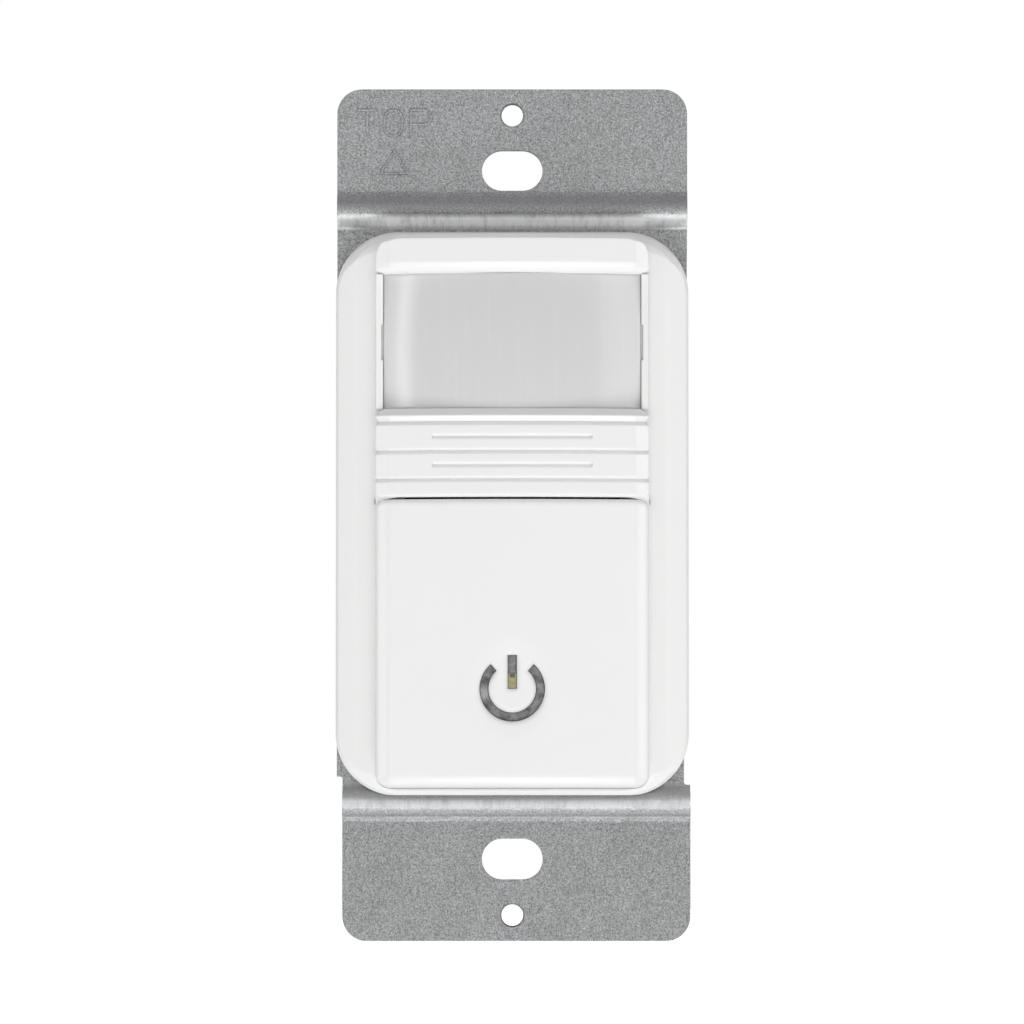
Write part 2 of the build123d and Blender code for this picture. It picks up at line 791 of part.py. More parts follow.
# Paddle: crowned cap with a finger dish, the cut-out symbol, hinge arms and a push post
with BuildPart() as paddle:
    with BuildSketch(level_plane(paddle_bottom)):
        add(crowned_section(paddle_half, paddle_back, 0))
    extrude(amount=paddle_top - paddle_bottom)
    front_edges = paddle.edges().filter_by(lambda e: e.center().Y < -block_side_front)
    chamfer(front_edges.group_by(Axis.Z)[0], length=paddle_bottom_bevel)
    chamfer(paddle.edges(Select.LAST).filter_by(runs_level), length=paddle_bottom_ease)
    front_edges = paddle.edges().filter_by(lambda e: e.center().Y < -block_side_front)
    chamfer(front_edges.group_by(Axis.Z)[-1], length=paddle_top_bevel)
    with BuildSketch(wall_plane(0)) as paddle_outline:
        with Locations((0, (paddle_top + paddle_bottom) / 2)):
            Rectangle(2 * paddle_half, paddle_top - paddle_bottom)
        fillet(paddle_outline.vertices().group_by(Axis.Y)[-1], radius=paddle_top_corner)
        fillet(paddle_outline.vertices().group_by(Axis.Y)[0], radius=paddle_bottom_corner)
    extrude(amount=block_crown_front + overrun, mode=Mode.INTERSECT)
    # Hollow back
    with BuildSketch(level_plane(paddle_bottom + paddle_wall)):
        add(crowned_section(paddle_half, paddle_back - overrun, paddle_wall))
    extrude(amount=paddle_top - paddle_bottom - 2 * paddle_wall, mode=Mode.SUBTRACT)
    # Flat pad that carries the light pipe, with two pegs
    with BuildSketch(wall_plane(pad_front)):
        with Locations((0, icon_height)):
            Rectangle(pad_width, pad_height)
    extrude(amount=block_crown_front - paddle_wall / 2 - pad_front)
    with BuildSketch(wall_plane(pad_front - peg_length)):
        with Locations((-peg_spread, icon_height), (peg_spread, icon_height)):
            Rectangle(peg_size, peg_size)
    extrude(amount=peg_length)
    # Finger dish
    dish_radius = ((dish_height / 2) ** 2 + dish_depth**2) / (2 * dish_depth)
    with Locations((0, dish_depth - block_crown_front - dish_radius, icon_height)):
        Sphere(dish_radius, mode=Mode.SUBTRACT)
    # Symbol
    with BuildSketch(wall_plane(pad_front)):
        with Locations((0, icon_height)):
            add(icon_outline(0))
    extrude(amount=block_crown_front, mode=Mode.SUBTRACT)
    # Post that pushes the switch
    with BuildSketch(wall_plane(switch_plunger_front + switch_contact_gap)):
        with Locations((0, switch_height)):
            Rectangle(post_size, post_size)
    extrude(amount=block_crown_front - paddle_wall / 2 - switch_plunger_front - switch_contact_gap)
    # Hinge arms and pins that reach up behind the ribbed front
    arm_outer = cavity_half - arm_side_gap
    pin_end = cavity_half + pivot_pin_length - pivot_clearance
    arm_foot = paddle_top - paddle_wall
    for side in (-1, 1):
        arm_start = arm_outer - arm_thickness if side > 0 else -arm_outer
        with BuildSketch(side_plane(arm_start)):
            with Locations((-pivot_front, (pivot_height + arm_half + arm_foot) / 2)):
                Rectangle(2 * arm_half, pivot_height + arm_half - arm_foot)
        extrude(amount=arm_thickness)
        pin_start = arm_outer if side > 0 else -pin_end
        with BuildSketch(side_plane(pin_start)):
            with Locations((-pivot_front, pivot_height)):
                Circle(pivot_pin_radius)
        extrude(amount=pin_end - arm_outer)
paddle.part.label = "paddle"
export_step(paddle.part, "parts/paddle.step")

# Light pipe: back plate, raised symbol and a stem that leads down to the lamp
with BuildPart() as light_pipe:
    plate_back = pad_front - pipe_plate_thickness
    with BuildSketch(wall_plane(plate_back)):
        with Locations((0, icon_height)):
            Rectangle(pipe_plate_width, pipe_plate_height)
        with Locations((-peg_spread, icon_height), (peg_spread, icon_height)):
            Rectangle(peg_size + 2 * peg_clearance, peg_size + 2 * peg_clearance, mode=Mode.SUBTRACT)
    extrude(amount=pipe_plate_thickness)
    with BuildSketch(wall_plane(pad_front)):
        with Locations((0, icon_height)):
            add(icon_outline(light_clearance))
    extrude(amount=pipe_riser_front - pad_front)
    with BuildSketch(wall_plane(pipe_stem_end)):
        with Locations((0, (icon_height + pipe_stem_top) / 2)):
            Rectangle(icon_bar_width, pipe_stem_top - icon_height)
    extrude(amount=plate_back - pipe_stem_end)
light_pipe.part.label = "light_pipe"
export_step(light_pipe.part, "parts/light_pipe.step")

# Push switch on the control board: its cover keeps the plunger's flange in the body
well_size = switch_flange_size + 2 * switch_plunger_clearance
with BuildPart() as push_switch_body:
    with BuildSketch(wall_plane(control_board_front)):
        with Locations((0, switch_height)):
            Rectangle(switch_size, switch_size)
    extrude(amount=switch_body_rise)
    with BuildSketch(wall_plane(switch_body_front - switch_plunger_depth - switch_well_spare)):
        with Locations((0, switch_height)):
            Rectangle(well_size, well_size)
    extrude(amount=switch_body_rise, mode=Mode.SUBTRACT)
push_switch_body.part.label = "push_switch_body"
export_step(push_switch_body.part, "parts/push_switch_body.step")

with BuildPart() as push_switch_cover:
    with BuildSketch(wall_plane(switch_body_front)):
        with Locations((0, switch_height)):
            Rectangle(switch_size, switch_size)
            Circle(switch_plunger_radius + switch_plunger_clearance, mode=Mode.SUBTRACT)
    extrude(amount=switch_cover_thickness)
push_switch_cover.part.label = "push_switch_cover"
export_step(push_switch_cover.part, "parts/push_switch_cover.step")

with BuildPart() as push_switch_plunger:
    with BuildSketch(wall_plane(switch_body_front - switch_flange_gap)):
        with Locations((0, switch_height)):
            Circle(switch_plunger_radius)
    extrude(amount=switch_plunger_rise + switch_flange_gap)
    with BuildSketch(wall_plane(switch_body_front - switch_plunger_depth)):
        with Locations((0, switch_height)):
            Rectangle(switch_flange_size, switch_flange_size)
    extrude(amount=switch_plunger_depth - switch_flange_gap)
push_switch_plunger.part.label = "push_switch_plunger"
export_step(push_switch_plunger.part, "parts/push_switch_plunger.step")

# Lamp below the light pipe's stem
with BuildPart() as status_led:
    with BuildSketch(wall_plane(control_board_front)):
        with Locations((0, led_z)):
            Rectangle(led_width, led_height)
    extrude(amount=led_rise / 2)
    with BuildSketch(wall_plane(control_board_front + led_rise / 2)):
        with Locations((0, led_z)):
            Rectangle(led_width, led_height - led_rise)
    extrude(amount=led_rise / 2)
status_led.part.label = "status_led"
export_step(status_led.part, "parts/status_led.step")

# Detector behind the lens: spacer, base with leads, can and filter window
flange_seat = control_board_front + spacer_thickness
can_seat = flange_seat + detector_flange_thickness
lead_places = [
    (
        detector_lead_circle * cos(radians(angle)),
        sensor_height + detector_lead_circle * sin(radians(angle)),
    )
    for angle in detector_lead_angles
]
with BuildPart() as sensor_spacer:
    with BuildSketch(wall_plane(control_board_front)):
        with Locations((0, sensor_height)):
            Rectangle(spacer_size, spacer_size)
        with Locations(*lead_places):
            Rectangle(detector_lead_hole, detector_lead_hole, mode=Mode.SUBTRACT)
    extrude(amount=spacer_thickness)
sensor_spacer.part.label = "sensor_spacer"
export_step(sensor_spacer.part, "parts/sensor_spacer.step")

with BuildPart() as pir_sensor_base:
    with BuildSketch(wall_plane(flange_seat)):
        with Locations((0, sensor_height)):
            add(hidden_round(detector_flange_radius))
    extrude(amount=detector_flange_thickness)
    with BuildSketch(wall_plane(detector_lead_end)):
        with Locations(*lead_places):
            Rectangle(detector_lead_size, detector_lead_size)
    extrude(amount=flange_seat - detector_lead_end)
pir_sensor_base.part.label = "pir_sensor_base"
export_step(pir_sensor_base.part, "parts/pir_sensor_base.step")

can_front = can_seat + detector_can_height
with BuildPart() as pir_sensor_can:
    with BuildSketch(wall_plane(can_seat)):
        with Locations((0, sensor_height)):
            Circle(detector_can_radius)
    extrude(amount=detector_can_height)
    with BuildSketch(wall_plane(can_front)):
        with Locations((0, sensor_height)):
            Rectangle(detector_window_width, detector_window_height)
    extrude(amount=-detector_window_depth, mode=Mode.SUBTRACT)
pir_sensor_can.part.label = "pir_sensor_can"
export_step(pir_sensor_can.part, "parts/pir_sensor_can.step")

with BuildPart() as pir_sensor_window:
    with BuildSketch(wall_plane(can_front - detector_window_depth)):
        with Locations((0, sensor_height)):
            Rectangle(
                detector_window_width - 2 * detector_window_gap,
                detector_window_height - 2 * detector_window_gap,
            )
    extrude(amount=detector_window_depth - detector_window_gap)
pir_sensor_window.part.label = "pir_sensor_window"
export_step(pir_sensor_window.part, "parts/pir_sensor_window.step")

with BuildPart() as daylight_sensor:
    with BuildSketch(wall_plane(control_board_front)):
        with Locations((daylight_x, sensor_height)):
            add(hidden_round(daylight_radius))
    extrude(amount=daylight_rise)
daylight_sensor.part.label = "daylight_sensor"
export_step(daylight_sensor.part, "parts/daylight_sensor.step")

# Control board
header_places = [
    ((index - (header_count - 1) / 2) * header_pitch, header_z) for index in range(header_count)
]
with BuildPart() as control_board:
    with BuildSketch(wall_plane(control_board_back)):
        with Locations((0, (control_board_top + control_board_bottom) / 2)):
            Rectangle(control_board_width, control_board_top - control_board_bottom)
        with Locations(*lead_places):
            Rectangle(detector_lead_hole, detector_lead_hole, mode=Mode.SUBTRACT)
        with Locations(*board_screw_places):
            add(hidden_round(board_screw_radius + screw_shank_room), mode=Mode.SUBTRACT)
    extrude(amount=board_thickness)
control_board.part.label = "control_board"
export_step(control_board.part, "parts/control_board.step")

with BuildPart() as controller_chip:
    with BuildSketch(wall_plane(control_board_front + chip_leg_lift)):
        with Locations((chip_x, chip_z)):
            Rectangle(chip_width, chip_length)
    extrude(amount=chip_rise)
    chamfer(controller_chip.faces().sort_by(Axis.Y)[0].edges(), length=chip_leg_thickness)
    with BuildSketch(wall_plane(control_board_front)):
        with Locations((chip_x, chip_z)):
            with GridLocations(chip_width, chip_leg_pitch, 2, chip_leg_count):
                Rectangle(2 * chip_leg_reach, chip_leg_width)
    extrude(amount=chip_leg_lift + chip_leg_thickness)
controller_chip.part.label = "controller_chip"
export_step(controller_chip.part, "parts/controller_chip.step")

with BuildPart() as chip_parts:
    with BuildSketch(wall_plane(control_board_front)):
        with Locations((small_part_x, small_part_z)):
            with GridLocations(
                small_part_column_pitch,
                small_part_row_pitch,
                small_part_columns,
                small_part_rows,
            ):
                Rectangle(small_part_length, small_part_width)
    extrude(amount=small_part_rise)
chip_parts.part.label = "chip_parts"
export_step(chip_parts.part, "parts/chip_parts.step")

with BuildPart() as board_screws:
    with BuildSketch(wall_plane(control_board_front - board_screw_length)):
        with Locations(*board_screw_places):
            add(hidden_round(board_screw_radius))
    extrude(amount=board_screw_length)
    with BuildSketch(wall_plane(control_board_front)):
        with Locations(*board_screw_places):
            add(hidden_round(board_screw_head_radius))
    extrude(amount=board_screw_head_height)
board_screws.part.label = "board_screws"
export_step(board_screws.part, "parts/board_screws.step")

# Plug connection between the boards
socket_mouth = control_board_back - socket_length
socket_hole_size = header_pin_size + 2 * header_pin_room
pin_tip = socket_mouth + header_overlap
with BuildPart() as header_pins:
    with BuildSketch(wall_plane(power_board_front)):
        with Locations((0, header_z)):
            Rectangle(header_count * header_pitch, header_body_width)
    extrude(amount=header_body_rise)
    with BuildSketch(wall_plane(power_board_front + header_body_rise)):
        with Locations(*header_places):
            Rectangle(header_pin_size, header_pin_size)
    extrude(amount=pin_tip - power_board_front - header_body_rise)
header_pins.part.label = "header_pins"
export_step(header_pins.part, "parts/header_pins.step")

with BuildPart() as header_socket:
    with BuildSketch(wall_plane(socket_mouth)):
        with Locations((0, header_z)):
            Rectangle(header_count * header_pitch, header_body_width)
    extrude(amount=socket_length)
    with BuildSketch(wall_plane(socket_mouth)):
        with Locations(*header_places):
            Rectangle(socket_hole_size, socket_hole_size)
    extrude(amount=socket_length - socket_wall, mode=Mode.SUBTRACT)
header_socket.part.label = "header_socket"
export_step(header_socket.part, "parts/header_socket.step")

# Power board with its mains parts
relay_leads = [(relay_x + a * relay_width, b * relay_length) for a, b in relay_lead_shares]
film_leads = [(film_x, -film_lead_spacing / 2), (film_x, film_lead_spacing / 2)]
drum_leads = [(drum_x - drum_lead_spacing / 2, drum_z), (drum_x + drum_lead_spacing / 2, drum_z)]
disc_leads = [(disc_x - disc_lead_spacing / 2, disc_z), (disc_x + disc_lead_spacing / 2, disc_z)]
fuse_leads = [(-fuse_lead_spacing / 2, fuse_z), (fuse_lead_spacing / 2, fuse_z)]
diode_columns = [diode_x + (index - (diode_count - 1) / 2) * diode_pitch for index in range(diode_count)]
standoff_places = [(x, z) for x in (-standoff_x, standoff_x) for z in (-standoff_z, standoff_z)]
tail_x = recess_floor_x + terminal_thickness / 2
tail_places = [
    (-tail_x, terminal_heights[0]),
    (-tail_x, terminal_heights[1]),
    (tail_x, terminal_heights[0]),
]
with BuildPart() as power_board:
    with BuildSketch(wall_plane(power_board_back)):
        Rectangle(2 * power_board_half_width, 2 * power_board_waist_height)
        Rectangle(2 * power_board_end_half_width, 2 * power_board_half_height)
        with Locations(*relay_leads, *film_leads, *drum_leads, *disc_leads, *fuse_leads):
            Rectangle(lead_hole_size, lead_hole_size, mode=Mode.SUBTRACT)
        with Locations(*tail_places):
            Rectangle(
                terminal_thickness + 2 * terminal_tail_room,
                terminal_tail_width + 2 * terminal_tail_room,
                mode=Mode.SUBTRACT,
            )
    extrude(amount=board_thickness)
power_board.part.label = "power_board"
export_step(power_board.part, "parts/power_board.step")

lead_length = board_thickness + lead_stick_out

with BuildPart() as relay:
    with BuildSketch(wall_plane(power_board_front)):
        with Locations((relay_x, 0)):
            Rectangle(relay_width, relay_length)
    extrude(amount=relay_rise)
    chamfer(relay.faces().sort_by(Axis.Y)[0].edges(), length=mains_edge_bevel)
    with BuildSketch(wall_plane(power_board_front)):
        with Locations(*relay_leads):
            Rectangle(lead_size, lead_size)
    extrude(amount=-lead_length)
relay.part.label = "relay"
export_step(relay.part, "parts/relay.step")

with BuildPart() as film_capacitor:
    with BuildSketch(wall_plane(power_board_front)):
        with Locations((film_x, 0)):
            Rectangle(film_width, film_length)
    extrude(amount=film_rise)
    chamfer(film_capacitor.faces().sort_by(Axis.Y)[0].edges(), length=mains_edge_bevel)
    with BuildSketch(wall_plane(power_board_front)):
        with Locations(*film_leads):
            Rectangle(lead_size, lead_size)
    extrude(amount=-lead_length)
film_capacitor.part.label = "film_capacitor"
export_step(film_capacitor.part, "parts/film_capacitor.step")

with BuildPart() as smoothing_capacitor:
    with BuildSketch(wall_plane(power_board_front)):
        with Locations((drum_x, drum_z)):
            Circle(drum_radius)
    extrude(amount=drum_rise)
    with BuildSketch(wall_plane(power_board_front)):
        with Locations(*drum_leads):
            Rectangle(lead_size, lead_size)
    extrude(amount=-lead_length)
smoothing_capacitor.part.label = "smoothing_capacitor"
export_step(smoothing_capacitor.part, "parts/smoothing_capacitor.step")

with BuildPart() as varistor:
    with BuildSketch(level_plane(disc_z - disc_thickness / 2)):
        with Locations((disc_x, -power_board_front - disc_lift - disc_radius)):
            Circle(disc_radius)
    extrude(amount=disc_thickness)
    with BuildSketch(wall_plane(power_board_back - lead_stick_out)):
        with Locations(*disc_leads):
            Rectangle(lead_size, lead_size)
    extrude(amount=lead_length + disc_lift + disc_radius / 2)
varistor.part.label = "varistor"
export_step(varistor.part, "parts/varistor.step")

with BuildPart() as fusible_resistor:
    rod_front = power_board_front + fuse_lift + fuse_radius
    with BuildSketch(side_plane(-fuse_length / 2)):
        with Locations((-rod_front, fuse_z)):
            Circle(fuse_radius)
    extrude(amount=fuse_length)
    with BuildSketch(side_plane(-fuse_lead_spacing / 2)):
        with Locations((-rod_front, fuse_z)):
            Rectangle(lead_size, lead_size)
    extrude(amount=fuse_lead_spacing)
    with BuildSketch(wall_plane(power_board_back - lead_stick_out)):
        with Locations(*fuse_leads):
            Rectangle(lead_size, lead_size)
    extrude(amount=rod_front - power_board_back + lead_stick_out)
fusible_resistor.part.label = "fusible_resistor"
export_step(fusible_resistor.part, "parts/fusible_resistor.step")

with BuildPart() as rectifier_diodes:
    diode_places = [(column, diode_z) for column in diode_columns]
    with BuildSketch(wall_plane(power_board_front + diode_lift)):
        with Locations(*diode_places):
            Rectangle(diode_width, diode_length)
    extrude(amount=diode_rise)
    with BuildSketch(wall_plane(power_board_front)):
        with Locations(*diode_places):
            Rectangle(diode_tab_width, diode_length + 2 * diode_tab_reach)
    extrude(amount=diode_lift + diode_tab_thickness)
rectifier_diodes.part.label = "rectifier_diodes"
export_step(rectifier_diodes.part, "parts/rectifier_diodes.step")

# Rear housing: open box with corner pillars and four terminal recesses
recess_places = [(side, height) for side in (-1, 1) for height in terminal_heights]
with BuildPart() as rear_housing:
    inner_half_width = housing_width / 2 - housing_wall
    inner_half_height = housing_height / 2 - housing_wall
    inner_back = housing_back + housing_back_wall
    with BuildSketch(wall_plane(housing_back)):
        RectangleRounded(housing_width, housing_height, housing_corner_radius)
    extrude(amount=strap_back - housing_back)
    chamfer(rear_housing.faces().sort_by(Axis.Y)[-1].edges(), length=housing_edge_bevel)
    with BuildSketch(wall_plane(inner_back)):
        Rectangle(2 * inner_half_width, 2 * inner_half_height)
        with Locations(*screw_places):
            Rectangle(2 * pillar_reach, 2 * pillar_reach, mode=Mode.SUBTRACT)
    extrude(amount=strap_back - inner_back + overrun, mode=Mode.SUBTRACT)
    # Solid blocks that enclose the recesses and carry the control board
    for side, height in recess_places:
        block_middle = side * (recess_block_x + inner_half_width) / 2
        with BuildSketch(wall_plane(recess_block_back)):
            with Locations((block_middle, height)):
                Rectangle(
                    inner_half_width - recess_block_x,
                    2 * (recess_half_height + recess_block_wall),
                )
        extrude(amount=control_board_back - recess_block_back)
    for side, height in recess_places:
        recess_outer = housing_width / 2 + overrun
        with BuildSketch(wall_plane(recess_back)):
            with Locations((side * (recess_floor_x + recess_outer) / 2, height)):
                Rectangle(recess_outer - recess_floor_x, 2 * recess_half_height)
        extrude(amount=recess_front - recess_back, mode=Mode.SUBTRACT)
        bite_start = side * (recess_floor_x - terminal_screw_bite)
        with BuildSketch(side_plane(bite_start)):
            with Locations((-terminal_screw_front, height)):
                add(hidden_round(terminal_screw_radius + terminal_screw_room))
        extrude(amount=side * terminal_screw_bite, mode=Mode.SUBTRACT)
    # Slots for the solder tails, and for the ground tongue at the lower right
    with BuildSketch(wall_plane(recess_back)):
        with Locations(*tail_places):
            Rectangle(
                terminal_thickness + 2 * terminal_tail_room,
                terminal_tail_width + 2 * terminal_tail_room,
            )
    extrude(amount=recess_block_back - recess_back, mode=Mode.SUBTRACT)
    with BuildSketch(wall_plane(recess_front)):
        with Locations((tail_x, terminal_heights[1])):
            Rectangle(
                terminal_thickness + 2 * terminal_tail_room,
                terminal_tail_width + 2 * terminal_tail_room,
            )
    extrude(amount=control_board_back - recess_front, mode=Mode.SUBTRACT)
    # Standoffs under the power board
    with BuildSketch(wall_plane(inner_back)):
        with Locations(*standoff_places):
            Rectangle(standoff_size, standoff_size)
    extrude(amount=power_board_back - inner_back)
    # Holes for the board screws
    with BuildSketch(wall_plane(control_board_back)):
        with Locations(*board_screw_places):
            add(hidden_round(board_screw_radius + screw_clearance))
    extrude(amount=board_thickness - board_screw_length, mode=Mode.SUBTRACT)
    # Through holes and wells for the long screws
    with BuildSketch(wall_plane(housing_back)):
        with Locations(*screw_places):
            add(hidden_round(screw_radius + screw_shank_room))
    extrude(amount=strap_back - housing_back, mode=Mode.SUBTRACT)
    with BuildSketch(wall_plane(housing_back)):
        with Locations(*screw_places):
            Circle(screw_head_radius + screw_head_room)
    extrude(amount=screw_well_depth, mode=Mode.SUBTRACT)
rear_housing.part.label = "rear_housing"
export_step(rear_housing.part, "parts/rear_housing.step")

with BuildPart() as housing_screws:
    head_seat = housing_back + screw_well_depth
    with BuildSketch(wall_plane(head_seat)):
        with Locations(*screw_places):
            add(hidden_round(screw_radius))
    extrude(amount=floor_front + screw_bite - screw_clearance - head_seat)
    with BuildSketch(wall_plane(head_seat)):
        with Locations(*screw_places):
            Circle(screw_head_radius)
    extrude(amount=-screw_head_height)
    with BuildSketch(wall_plane(head_seat - screw_head_height)):
        with Locations(*screw_places):
            Rectangle(
                2 * screw_head_radius * screw_cross_share,
                2 * screw_head_radius * screw_slot_share,
            )
            Rectangle(
                2 * screw_head_radius * screw_slot_share,
                2 * screw_head_radius * screw_cross_share,
            )
    extrude(amount=screw_head_height * screw_slot_depth_share, mode=Mode.SUBTRACT)
housing_screws.part.label = "housing_screws"
export_step(housing_screws.part, "parts/housing_screws.step")


def terminal(side, height, tail_front, tail_back):
    """Contact plate in a side recess, with a tail that reaches between two fronts."""
    plate_edge = side * recess_floor_x if side > 0 else -recess_floor_x - terminal_thickness
    with BuildPart() as plate:
        with BuildSketch(side_plane(plate_edge)):
            with Locations((-(recess_front + recess_back) / 2, height)):
                Rectangle(
                    recess_front - recess_back - 2 * terminal_margin,
                    2 * (recess_half_height - terminal_margin),
                )
            with Locations((-terminal_screw_front, height)):
                add(hidden_round(terminal_screw_radius + terminal_screw_room), mode=Mode.SUBTRACT)
            with Locations((-(tail_front + tail_back) / 2, height)):
                Rectangle(tail_front - tail_back, terminal_tail_width)
        extrude(amount=terminal_thickness)
    return plate.part


def binding_screw(side, height):
    """Slotted screw with a broad head, its shank turned into the housing."""
    head_x = recess_floor_x + terminal_thickness
    middle = -terminal_screw_front
    with BuildPart() as screw:
        with BuildSketch(side_plane(side * (recess_floor_x - terminal_screw_bite))):
            with Locations((middle, height)):
                add(hidden_round(terminal_screw_radius))
        extrude(amount=side * (head_x - recess_floor_x + terminal_screw_bite))
        with BuildSketch(side_plane(side * head_x)):
            with Locations((middle, height)):
                Circle(terminal_head_radius)
        extrude(amount=side * terminal_head_height)
        with BuildSketch(side_plane(side * (head_x + terminal_head_height))):
            with Locations((middle, height)):
                Rectangle(2 * terminal_head_radius, terminal_slot_width)
        extrude(amount=-side * terminal_slot_depth, mode=Mode.SUBTRACT)
    return screw.part


solder_end = power_board_back - lead_stick_out
plate_back_edge = recess_back + terminal_margin + terminal_thickness
plate_front_edge = recess_front - terminal_margin - terminal_thickness
mains_plates = [
    terminal(-1, terminal_heights[0], plate_back_edge, solder_end),
    terminal(-1, terminal_heights[1], plate_back_edge, solder_end),
    terminal(1, terminal_heights[0], plate_back_edge, solder_end),
]
with BuildPart() as terminal_plates:
    for plate in mains_plates:
        add(plate)
terminal_plates.part.label = "terminal_plates"
export_step(terminal_plates.part, "parts/terminal_plates.step")

ground_plate = terminal(1, terminal_heights[1], strap_back, plate_front_edge)
ground_plate.label = "ground_plate"
export_step(ground_plate, "parts/ground_plate.step")

line_screw_parts = [binding_screw(-1, terminal_heights[0]), binding_screw(-1, terminal_heights[1])]
with BuildPart() as line_screws:
    for screw in line_screw_parts:
        add(screw)
line_screws.part.label = "line_screws"
export_step(line_screws.part, "parts/line_screws.step")

neutral_screw = binding_screw(1, terminal_heights[0])
neutral_screw.label = "neutral_screw"
export_step(neutral_screw, "parts/neutral_screw.step")

ground_screw = binding_screw(1, terminal_heights[1])
ground_screw.label = "ground_screw"
export_step(ground_screw, "parts/ground_screw.step")
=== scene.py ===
import json
import math

import bmesh
import bpy
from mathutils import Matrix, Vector


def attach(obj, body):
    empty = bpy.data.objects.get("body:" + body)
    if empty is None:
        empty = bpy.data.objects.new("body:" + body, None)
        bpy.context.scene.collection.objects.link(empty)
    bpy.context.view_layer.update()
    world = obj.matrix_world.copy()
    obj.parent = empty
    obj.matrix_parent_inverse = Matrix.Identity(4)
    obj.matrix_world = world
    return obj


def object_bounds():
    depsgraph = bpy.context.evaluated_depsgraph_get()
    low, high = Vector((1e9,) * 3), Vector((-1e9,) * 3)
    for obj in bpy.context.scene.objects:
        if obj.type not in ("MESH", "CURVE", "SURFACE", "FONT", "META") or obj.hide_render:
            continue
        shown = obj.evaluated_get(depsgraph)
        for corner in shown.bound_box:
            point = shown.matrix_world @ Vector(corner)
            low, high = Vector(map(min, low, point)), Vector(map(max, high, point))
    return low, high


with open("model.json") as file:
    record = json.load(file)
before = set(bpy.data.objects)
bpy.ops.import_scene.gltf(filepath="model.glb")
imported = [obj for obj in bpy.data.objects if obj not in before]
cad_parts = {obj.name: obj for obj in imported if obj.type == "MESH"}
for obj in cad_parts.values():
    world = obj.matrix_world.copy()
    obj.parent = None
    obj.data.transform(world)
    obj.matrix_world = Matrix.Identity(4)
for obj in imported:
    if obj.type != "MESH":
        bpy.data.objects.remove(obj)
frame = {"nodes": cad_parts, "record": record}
cad_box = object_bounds()
nodes = frame["nodes"]
MM = 0.001

# Places on the object, in millimetres: x to the right, z up, the wall at y 0
EAR_FRONT = -1.2
SYMBOL_Z = -21.3
SYMBOL_LAMP_TOP = -19.5
PADDLE_HALF = 16.42
PADDLE_TOP = 1.45
PADDLE_BOTTOM = -33.15
LIP_HEIGHT = 1.72
LENS_HALF = 15.45
LENS_FOOT, LENS_HEAD = 12.5, 28.6
PLATE_HOLES = (48.42, -48.42)
PLATE_HOLE_RADIUS = 1.47

# Bands across the front that differ in tone, several of them painted highlight or painted shade on
# the strap: foot, head, and the height over which each fades
UPPER_RIDGE_RUBBED_HIGHLIGHT = (34.5, 36.4, 0.6)
UPPER_BEND_PAINTED_SHADE = (36.5, 39.1, 1.2)
LOWER_RIDGE_RUBBED_HIGHLIGHT = (-35.8, -34.1, 0.6)
LOWER_RIDGE_PAINTED_LIGHT = (-34.6, -32.2, 0.5)
LOWER_BEND_PAINTED_SHADE = (-36.8, -35.4, 0.4)
LOWER_BEND_HIGHLIGHT = (-36.85, -36.5, 0.12)
LOWER_EAR = (-60.0, -36.2, 1.2)
SYMBOL_CLOUD = (-22.9, -20.6, 0.9)
SYMBOL_SEAM = (-20.1, -19.3, 0.25)

WHITE = (0.90, 0.90, 0.895)


# ---- Building blocks of the materials ----


def maths(tree, operation, first, second=None, clamp=False):
    """Math node; each term is a socket or a number."""
    node = tree.nodes.new("ShaderNodeMath")
    node.operation = operation
    node.use_clamp = clamp
    for index, term in enumerate((first, second)):
        if term is None:
            continue
        if isinstance(term, (int, float)):
            node.inputs[index].default_value = term
        else:
            tree.links.new(term, node.inputs[index])
    return node.outputs[0]


def plus(tree, first, second, clamp=False):
    """Sum of two terms."""
    return maths(tree, "ADD", first, second, clamp)


def minus(tree, first, second, clamp=False):
    """First term less the second."""
    return maths(tree, "SUBTRACT", first, second, clamp)


def times(tree, first, second, clamp=False):
    """Product of two terms."""
    return maths(tree, "MULTIPLY", first, second, clamp)


def object_point(tree, stretch=(1, 1, 1)):
    """Place on the object in metres, stretched along each axis."""
    place = tree.nodes.new("ShaderNodeTexCoord")
    mapping = tree.nodes.new("ShaderNodeMapping")
    mapping.inputs["Scale"].default_value = stretch
    tree.links.new(place.outputs["Object"], mapping.inputs["Vector"])
    return mapping.outputs["Vector"]


def object_axes(tree):
    """Place on the object as its X, Y and Z in metres."""
    split = tree.nodes.new("ShaderNodeSeparateXYZ")
    tree.links.new(object_point(tree), split.inputs[0])
    return split.outputs


def noise(tree, scale, detail, roughness, stretch=(1, 1, 1)):
    """Noise on the object's own place; scale may be a socket."""
    node = tree.nodes.new("ShaderNodeTexNoise")
    node.inputs["Detail"].default_value = detail
    node.inputs["Roughness"].default_value = roughness
    tree.links.new(object_point(tree, stretch), node.inputs["Vector"])
    if isinstance(scale, (int, float)):
        node.inputs["Scale"].default_value = scale
    else:
        tree.links.new(scale, node.inputs["Scale"])
    return node.outputs["Fac"]


def toned(tree, colour, tone):
    """Colour made lighter or darker by a tone around 1."""
    shade = tree.nodes.new("ShaderNodeVectorMath")
    shade.operation = "SCALE"
    tree.links.new(colour, shade.inputs[0])
    tree.links.new(tone, shade.inputs["Scale"])
    return shade.outputs[0]


def colour_input(node, label):
    """The colour input of a Mix node with this label."""
    return [s for s in node.inputs if s.type == "RGBA" and s.name == label][0]


